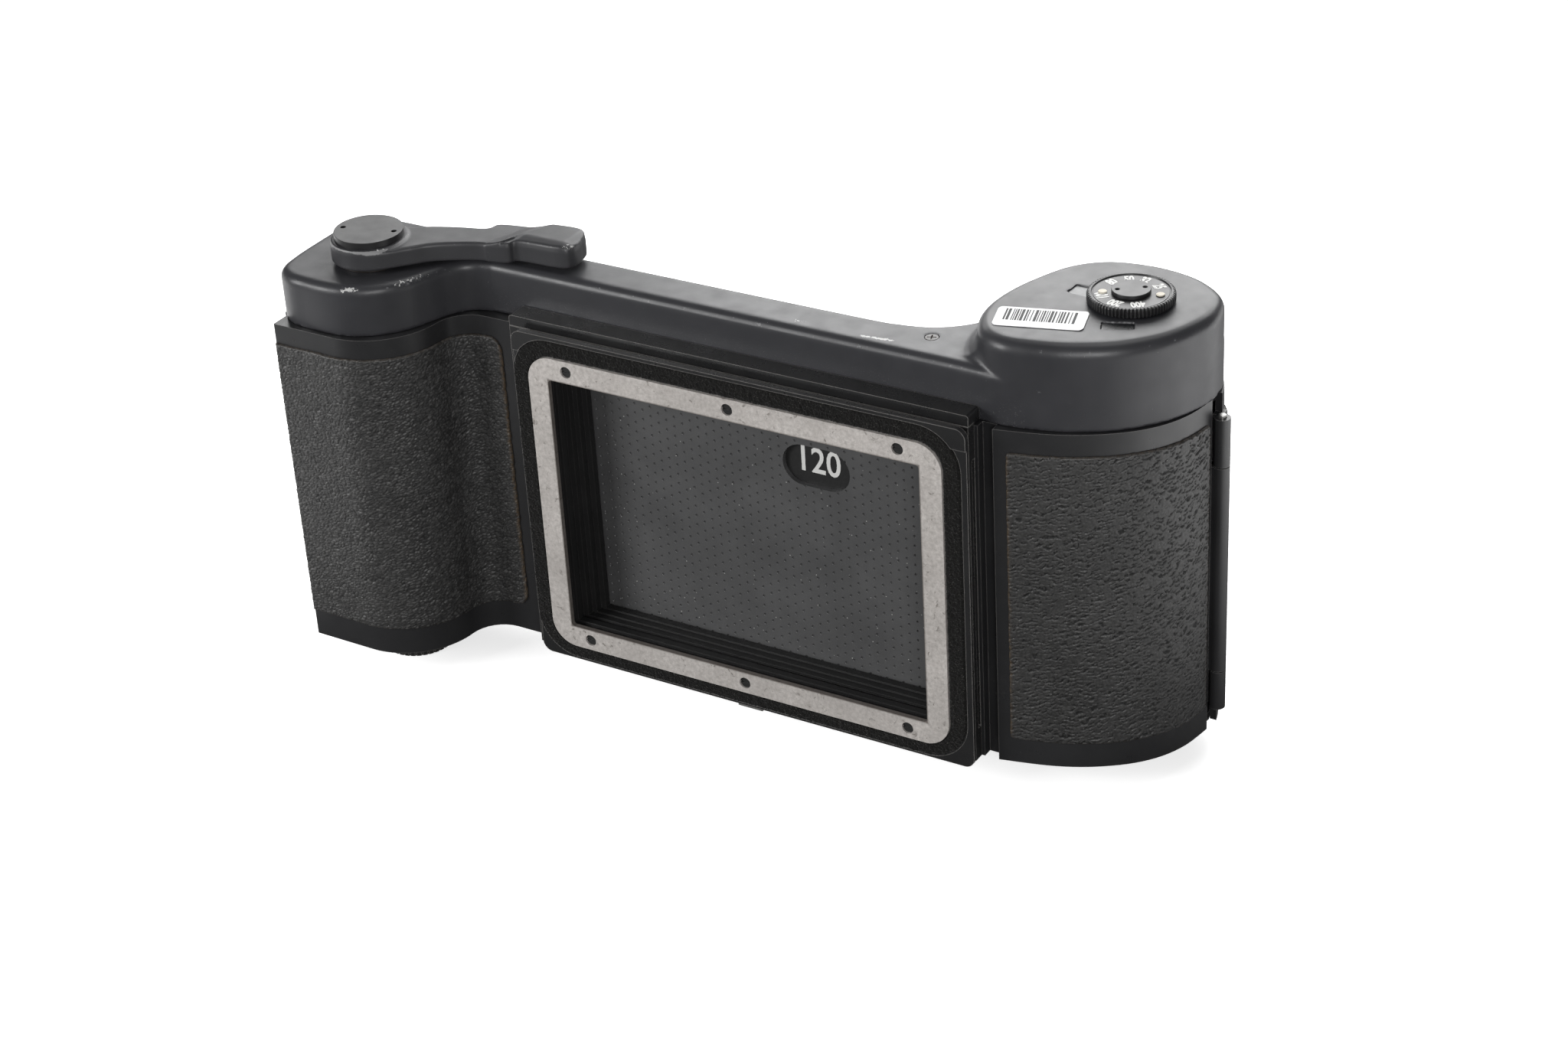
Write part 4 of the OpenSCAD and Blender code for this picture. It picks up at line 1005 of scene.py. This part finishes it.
# ---------------------------------------------------------------- pressure plate
def build_pressure_plate():
    """Flat plate with a dimple in every other cell of a grid; its one slot is cut through it
    afterwards.
    """
    pitch_x, pitch_z = 1.855, 1.075
    grid_x, grid_z = -36.07, 14.71
    half_x, half_z = 43.0, 33.5
    front_y, back_y = 10.45, 11.5
    dimple = ((0.36, 0.0), (0.30, 0.06), (0.17, 0.30))  # radius, depth
    columns = [i for i in range(-40, 60) if abs(grid_x + i * pitch_x) + pitch_x / 2 < 42.4]
    rows = [j for j in range(-60, 40) if abs(grid_z + j * pitch_z) + pitch_z / 2 < 32.9]

    def lines(start, pitch, cells, half):
        bounds = cells + [cells[-1] + 1]
        return [-half] + [start + (i - 0.5) * pitch for i in bounds] + [half]

    xs = lines(grid_x, pitch_x, columns, half_x)
    zs = lines(grid_z, pitch_z, rows, half_z)
    nx, nz = len(xs), len(zs)
    points = [(x, front_y, z) for x in xs for z in zs]
    faces = []
    for a in range(nx - 1):
        for b in range(nz - 1):
            cell = (a * nz + b, (a + 1) * nz + b, (a + 1) * nz + b + 1, a * nz + b + 1)
            inner = 0 < a < nx - 2 and 0 < b < nz - 2
            if not inner or (columns[a - 1] + rows[b - 1]) % 2:
                faces.append(cell)
                continue
            x, z = (xs[a] + xs[a + 1]) / 2, (zs[b] + zs[b + 1]) / 2
            rings = []
            for radius, depth in dimple:
                rings.append([len(points) + t for t in range(8)])
                for t in range(8):
                    angle = math.radians(22.5 + 45 * t - 180)
                    points.append((x + radius * math.cos(angle), front_y + depth,
                                   z + radius * math.sin(angle)))
            # ring points start at the lower left and go anticlockwise seen from the front
            rim = rings[0]
            faces += [(cell[t], cell[(t + 1) % 4], rim[(2 * t + 2) % 8], rim[2 * t + 1])
                      for t in range(4)]
            faces += [(cell[t], rim[2 * t + 1], rim[2 * t]) for t in range(4)]
            for upper, lower in zip(rings, rings[1:]):
                faces += [(upper[t], upper[(t + 1) % 8], lower[(t + 1) % 8], lower[t])
                          for t in range(8)]
            faces.append(rings[-1])
    rim = grid_rim(nx, nz)
    back = list(range(len(points), len(points) + len(rim)))
    points += [(points[i][0], back_y, points[i][2]) for i in rim]
    faces += wall_faces(rim, back) + [back]
    plate = make("pressure_plate_face", points, faces, "pad", "pressure",
                 ("pressure_plate",), smooth=False)
    bm = bmesh.new()
    bm.from_mesh(plate.data)
    bmesh.ops.remove_doubles(bm, verts=bm.verts, dist=1e-6)
    bmesh.ops.dissolve_degenerate(bm, edges=bm.edges, dist=1e-7)
    bmesh.ops.recalc_face_normals(bm, faces=bm.faces)
    bm.to_mesh(plate.data)
    bm.free()
    return plate


def slot_tool():
    """Prism with round ends, as long as the slot and deeper than the plate."""
    middle_x, middle_z, half_straight, radius = 13, 16.1, 3.1, 4.45
    outline = (arc_points((middle_x + half_straight, middle_z), radius, -90, 90, 14)
               + arc_points((middle_x - half_straight, middle_z), radius, 90, 270, 14))
    mesh = bpy.data.meshes.new("tool")
    mesh.from_pydata([(x * MM, y * MM, z * MM) for y in (9, 13) for x, z in outline], [],
                     prism_faces(len(outline)))
    bm = bmesh.new()
    bm.from_mesh(mesh)
    bmesh.ops.recalc_face_normals(bm, faces=bm.faces)
    bm.to_mesh(mesh)
    bm.free()
    return add_object("tool", mesh)


def subtract(ob, tool):
    cutter = ob.modifiers.new("b", "BOOLEAN")
    cutter.operation = "DIFFERENCE"
    cutter.solver = "EXACT"
    cutter.object = tool
    graph = bpy.context.evaluated_depsgraph_get()
    mesh = bpy.data.meshes.new_from_object(ob.evaluated_get(graph), depsgraph=graph)
    old = ob.data
    ob.modifiers.clear()
    ob.data = mesh
    mesh.name = old.name
    bpy.data.meshes.remove(old)
    bpy.data.objects.remove(tool, do_unlink=True)


subtract(build_pressure_plate(), slot_tool())


# ---------------------------------------------------------------- figures
def numeral(name, text, height, width, material, body, placing, depth, bold):
    """Thin raised figures, scaled to an exact width and height."""
    curve = bpy.data.curves.new(name, "FONT")
    curve.body = text
    curve.size = height
    curve.extrude = depth / 2
    curve.offset = bold
    curve.align_x = "CENTER"
    curve.align_y = "CENTER"
    curve.resolution_u = 4
    source = add_object(name + "_t", curve)
    graph = bpy.context.evaluated_depsgraph_get()
    graph.update()
    mesh = bpy.data.meshes.new_from_object(source.evaluated_get(graph), depsgraph=graph)
    bpy.data.objects.remove(source, do_unlink=True)
    bpy.data.curves.remove(curve)
    bm = bmesh.new()
    bm.from_mesh(mesh)
    bmesh.ops.remove_doubles(bm, verts=bm.verts, dist=1e-4)
    xs = [v.co.x for v in bm.verts]
    ys = [v.co.y for v in bm.verts]
    middle_x, middle_y = (min(xs) + max(xs)) / 2, (min(ys) + max(ys)) / 2
    scale_x, scale_y = width / (max(xs) - min(xs)), height / (max(ys) - min(ys))
    for v in bm.verts:
        v.co = Vector(((v.co.x - middle_x) * scale_x, (v.co.y - middle_y) * scale_y, v.co.z))
    bm.to_mesh(mesh)
    bm.free()
    mesh.transform(placing)
    mesh.transform(Matrix.Scale(MM, 4))
    mesh.materials.clear()
    mesh.materials.append(MAT[material])
    ob = add_object(name, mesh)
    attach(ob, body)


FACING_FRONT = Matrix(((1, 0, 0, 0), (0, 0, -1, 0), (0, 1, 0, 0), (0, 0, 0, 1)))
numeral("index_figures", "120", height=5.7, width=8.8, material="white", body="pad",
        placing=Matrix.Translation((13.6, 11.44, 17.2)) @ FACING_FRONT, depth=0.1, bold=0.07)

DIAL_FACE = 55.8
FIGURE_CIRCLE = 5.62
# figure, x and y of a point on its ray from the dial axis, width
DIAL_FIGURES = (
    ("32", 70.25, 38.4, 1.85), ("50", 66.75, 37.75, 1.85), ("80", 64.7, 34.5, 1.85),
    ("100", 65.4, 28.5, 2.45), ("200", 69.2, 26.3, 2.75), ("400", 73.3, 27.7, 2.75),
    ("25", 73.9, 36.5, 1.85))


def dial_angle(x, y):
    return math.atan2(y - DIAL_AXIS[1], x - DIAL_AXIS[0])


for i, (text, x, y, width) in enumerate(DIAL_FIGURES):
    angle = dial_angle(x, y)
    place = (DIAL_AXIS[0] + FIGURE_CIRCLE * math.cos(angle),
             DIAL_AXIS[1] + FIGURE_CIRCLE * math.sin(angle), DIAL_FACE + 0.02)
    turn = Matrix.Rotation(angle - math.pi / 2, 4, "Z")
    numeral("dial_figure_%d" % i, text, height=2.4, width=width, material="digit",
            body="dial", placing=Matrix.Translation(place) @ turn, depth=0.05, bold=0.105)

# ---------------------------------------------------------------- speed dial
# radius, z round the section of the disc
DIAL_SECTION = [
    (1.52, 54.1), (7.9, 54.1), (8.12, 54.25), (8.3, 54.42), (8.3, 54.7), (8.3, 55.1),
    (8.3, 55.62), (8.16, 55.86), (7.92, 55.98), (7.6, 56.0), (7.46, 55.94), (7.4, 55.84),
    (7.34, 55.72), (7.16, 55.72), (7.08, DIAL_FACE), (5.0, DIAL_FACE), (3.0, DIAL_FACE),
    (1.52, DIAL_FACE)]
KNURL = [0, 0, 0.10, 0.36, 0.42, 0.36, 0.10, 0]  # depth at each step of one tooth
KNURL_COUNT = 72
KNURL_INNER = 7.6  # no knurling inside this radius


def build_dial():
    turns, ring = KNURL_COUNT * len(KNURL), len(DIAL_SECTION)
    points, faces = [], []
    for i in range(turns):
        a = 2 * math.pi * i / turns
        for radius, z in DIAL_SECTION:
            if radius >= KNURL_INNER:
                radius -= KNURL[i % 8] * min(1.0, (radius - KNURL_INNER) / 0.5)
            points.append((DIAL_AXIS[0] + radius * math.cos(a),
                           DIAL_AXIS[1] + radius * math.sin(a), z))
    for i in range(turns):
        k = (i + 1) % turns
        for j in range(ring):
            n = (j + 1) % ring
            faces.append((i * ring + j, k * ring + j, k * ring + n, i * ring + n))
    make("dial_disc", points, faces, "dial", "dial", ("speed_dial",), sharp=28)


def radial_prism(name, origin, angle, outline, heights, body, material):
    """Flat mark; its outline is (distance along the angle, distance to the left of it)."""
    ca, sa = math.cos(angle), math.sin(angle)
    points = [(origin[0] + r * ca - w * sa, origin[1] + r * sa + w * ca, z)
              for z in heights for r, w in outline]
    make(name, points, prism_faces(len(outline)), body, material, smooth=False)


build_dial()
radial_prism("dial_pointer", DIAL_AXIS, dial_angle(66.6, 35.4),
             [(3.9, 0.42), (3.9, -0.42), (5.0, 0)], (DIAL_FACE - 0.01, DIAL_FACE + 0.06),
             "dial", "red")
# setting mark on the housing
MARK = (72.9, 41.0)
radial_prism("setting_mark", MARK, dial_angle(*MARK),
             [(-0.45, -0.13), (0.45, -0.13), (0.45, 0.13), (-0.45, 0.13)],
             (COVER_TOP - 0.02, COVER_TOP + 0.05), "body", "white")

# ---------------------------------------------------------------- stock label
LABEL_CENTRE = (58.1, 18.3)
LABEL_TURN = math.radians(15.7)


def label_point(u, v, lift):
    # the right edge lifts a trace and one shallow crease crosses the sheet
    z = (COVER_TOP + 0.055 + 0.10 * max(0.0, (u - 6.2) / 2.3) ** 2
         + 0.03 * math.exp(-((u + 1.5 - 0.2 * v) / 0.5) ** 2))
    ca, sa = math.cos(LABEL_TURN), math.sin(LABEL_TURN)
    return LABEL_CENTRE[0] + u * ca - v * sa, LABEL_CENTRE[1] + u * sa + v * ca, z + lift


def build_label_sheet():
    half_length, half_width, corner = 8.5, 3.95, 1.0
    columns, rows = 69, 33
    points, faces = [], []
    for lift in (0.075, 0.0):
        for u in np.linspace(-half_length, half_length, columns):
            limit = half_width
            inset = half_length - abs(u)
            if inset < corner:
                limit += math.sqrt(max(corner ** 2 - (corner - inset) ** 2, 0.0)) - corner
            points += [label_point(u, limit * (2 * j / (rows - 1) - 1), lift)
                       for j in range(rows)]
    under = columns * rows
    for i in range(columns - 1):
        for j in range(rows - 1):
            cell = (i * rows + j, (i + 1) * rows + j, (i + 1) * rows + j + 1, i * rows + j + 1)
            faces += [cell, tuple(under + t for t in cell[::-1])]
    rim = grid_rim(columns, rows)
    faces += wall_faces(rim, [under + t for t in rim])
    make("stock_label_sheet", points, faces, "body", "paper",
         ("stock_label",), sharp=40)


def build_label_bars():
    """Row of upright bars with random widths and gaps."""
    random = np.random.default_rng(12)
    start, stop, limit = -6.9, 6.7, 6.9
    low, length, steps = -1.5, 4.7, 6
    points, faces = [], []
    under = 2 * (steps + 1)
    u = start
    while u < stop:
        width = [0.2, 0.2, 0.34, 0.5][random.integers(0, 4)]
        right = min(u + width, limit)
        b = len(points)
        for lift in (0.085, 0.07):
            for k in range(steps + 1):
                v = low + length * k / steps
                points += [label_point(u, v, lift), label_point(right, v, lift)]
        for k in range(steps):
            t = b + 2 * k
            d = t + under
            faces += [(t, t + 1, t + 3, t + 2), (d, d + 2, d + 3, d + 1),
                      (t, t + 2, d + 2, d), (t + 1, d + 1, d + 3, t + 3)]
        e = b + 2 * steps
        faces += [(b, b + under, b + under + 1, b + 1), (e, e + 1, e + under + 1, e + under)]
        u += width + [0.16, 0.2, 0.3, 0.42][random.integers(0, 4)]
    make("label_bars", points, faces, "body", "ink", smooth=False)


build_label_sheet()
build_label_bars()

# ---------------------------------------------------------------- finishes of the CAD parts
# material: {part: bevel width, or 0 for edges only split}
FINISHES = {
    "body": {"body_casting": 0.28},
    "frame": {"mount_frame": 0.25},
    "door": {"back_door": 0.3},
    "baffle": {"film_gate": 0.12, "slide_trap": 0, "door_seals": 0, "plate_screws": 0.1},
    "silver": {"retaining_plate": 0.16},
    "oxide": {"cover_screws": 0.08, "lever_bushing": 0.15},
    "dial": {"dial_cap": 0.2, "lever_cap": 0.32},
    "nickel": {"dial_rivets": 0.16},
    "window": {"counter_window": 0.12},
    "dark_window": {"format_window": 0.12},
    "index": {"index_plate": 0.1},
    "plastic": {"take_up_spool": 0.2, "supply_spool": 0.2, "metering_roller": 0.2},
    "hinge": {"latch_slide": 0.25, "knob_left": 0.2, "knob_right": 0.2},
    "brass": {"lever_gear": 0, "idler_gear": 0, "counter_idler": 0},
    "steel": {
        "hinge_pin": 0.18, "lever_spring": 0, "idler_post": 0, "take_up_shaft": 0,
        "clutch_spring": 0, "supply_pivot": 0, "brake_spring": 0.1, "guide_roller": 0.15,
        "counter_idler_post": 0, "counter_post": 0, "counter_spring": 0, "dial_post": 0,
        "dial_ball": 0, "plate_carrier": 0.15, "plate_springs": 0, "carrier_posts": 0.15,
        "knob_bushings": 0.2, "knob_spring_left": 0, "knob_spring_right": 0,
        "frame_screws": 0.12, "mount_catch": 0.2},
}


def recolour(mesh, material):
    mesh.materials.clear()
    mesh.materials.append(MAT[material])
    mesh.polygons.foreach_set("material_index", np.zeros(len(mesh.polygons), np.int32))


def finish_part(ob, material, bevel_width):
    mesh = ob.data
    recolour(mesh, material)
    if "custom_normal" in mesh.attributes:
        mesh.attributes.remove(mesh.attributes["custom_normal"])
    mesh.polygons.foreach_set("use_smooth", np.ones(len(mesh.polygons), bool))
    weld = ob.modifiers.new("weld", "WELD")
    weld.merge_threshold = 2e-6
    flat = ob.modifiers.new("flat", "DECIMATE")
    flat.decimate_type = "DISSOLVE"
    flat.angle_limit = math.radians(0.6)
    if bevel_width:
        bevel = ob.modifiers.new("edge", "BEVEL")
        bevel.width = bevel_width * MM
        bevel.segments = 3
        bevel.limit_method = "ANGLE"
        bevel.angle_limit = math.radians(38)
        bevel.use_clamp_overlap = True
        bevel.harden_normals = True
        bevel.miter_outer = "MITER_SHARP"
    else:
        split = ob.modifiers.new("sharp", "EDGE_SPLIT")
        split.split_angle = math.radians(36)


for material, parts in FINISHES.items():
    for part, bevel_width in parts.items():
        finish_part(NODES[part], material, bevel_width)
recolour(NODES["counter_disc"].data, "white")

# ---------------------------------------------------------------- stage, in metres
bpy.ops.mesh.primitive_plane_add(size=1, location=(0, 0, -0.0421))
floor = bpy.context.object
floor.name = "floor"
floor.scale = (6, 6, 1)
floor.data.materials.append(MAT["floor"])

# the world is white to the camera and dim as a light
world = bpy.data.worlds.new("world")
bpy.context.scene.world = world
world.use_nodes = True
background = world.node_tree.nodes["Background"]
camera_ray = add_node(world.node_tree, "ShaderNodeLightPath").outputs["Is Camera Ray"]
strength = add_node(world.node_tree, "ShaderNodeMapRange", {
    "Value": camera_ray, "To Min": 0.10, "To Max": 1.0})
background.inputs[0].default_value = (1, 1, 1, 1)
world.node_tree.links.new(strength.outputs[0], background.inputs[1])


def area_light(name, place, target, size, power, size_y=None):
    light = bpy.data.lights.new(name, "AREA")
    light.energy = power
    light.size = size
    if size_y:
        light.shape = "RECTANGLE"
        light.size_y = size_y
    ob = add_object(name, light)
    ob.location = place
    aim = Vector(target) - Vector(place)
    ob.rotation_euler = aim.to_track_quat("-Z", "Y").to_euler()


area_light("key_left", place=(-0.75, -0.85, 0.38), target=(0, 0, 0), size=0.45, power=10.0)
area_light("key_right", place=(0.55, -0.80, 0.34), target=(0, 0, 0), size=0.4, power=5.0)
area_light("back_near", place=(-0.035, 0.33, 0.235), target=(0.066, 0.030, 0.054),
           size=0.38, power=1.55, size_y=0.26)
area_light("back_left", place=(-0.27, 0.22, 0.185), target=(-0.07, 0.0, 0.053),
           size=0.12, power=0.12, size_y=0.08)
area_light("top", place=(0.10, 0.25, 0.95), target=(0, 0, 0.04), size=0.5, power=1.6)

# camera directions in the world
CAMERA_RIGHT = (0.8604757989967402, 0.5069077017852317, -0.05124432858118244)
CAMERA_DOWN = (0.21232880405960292, -0.44821091734529084, -0.8683452381047024)
CAMERA_FORWARD = (-0.46313915652591964, 0.7363094155606787, -0.49330575331041104)
CAMERA_PLACE = (0.29384, -0.44888, 0.30984)
lens = bpy.data.cameras.new("camera")
camera = add_object("camera", lens)
lens.sensor_width = 36
lens.lens = 72.5
lens.clip_start = 0.01
lens.clip_end = 20
camera.matrix_world = Matrix([
    (right, -down, -forward, place) for right, down, forward, place
    in zip(CAMERA_RIGHT, CAMERA_DOWN, CAMERA_FORWARD, CAMERA_PLACE)] + [(0, 0, 0, 1)])
scene = bpy.context.scene
scene.camera = camera
scene.view_settings.view_transform = "Standard"
scene.view_settings.look = "None"
scene.view_settings.exposure = 0.0

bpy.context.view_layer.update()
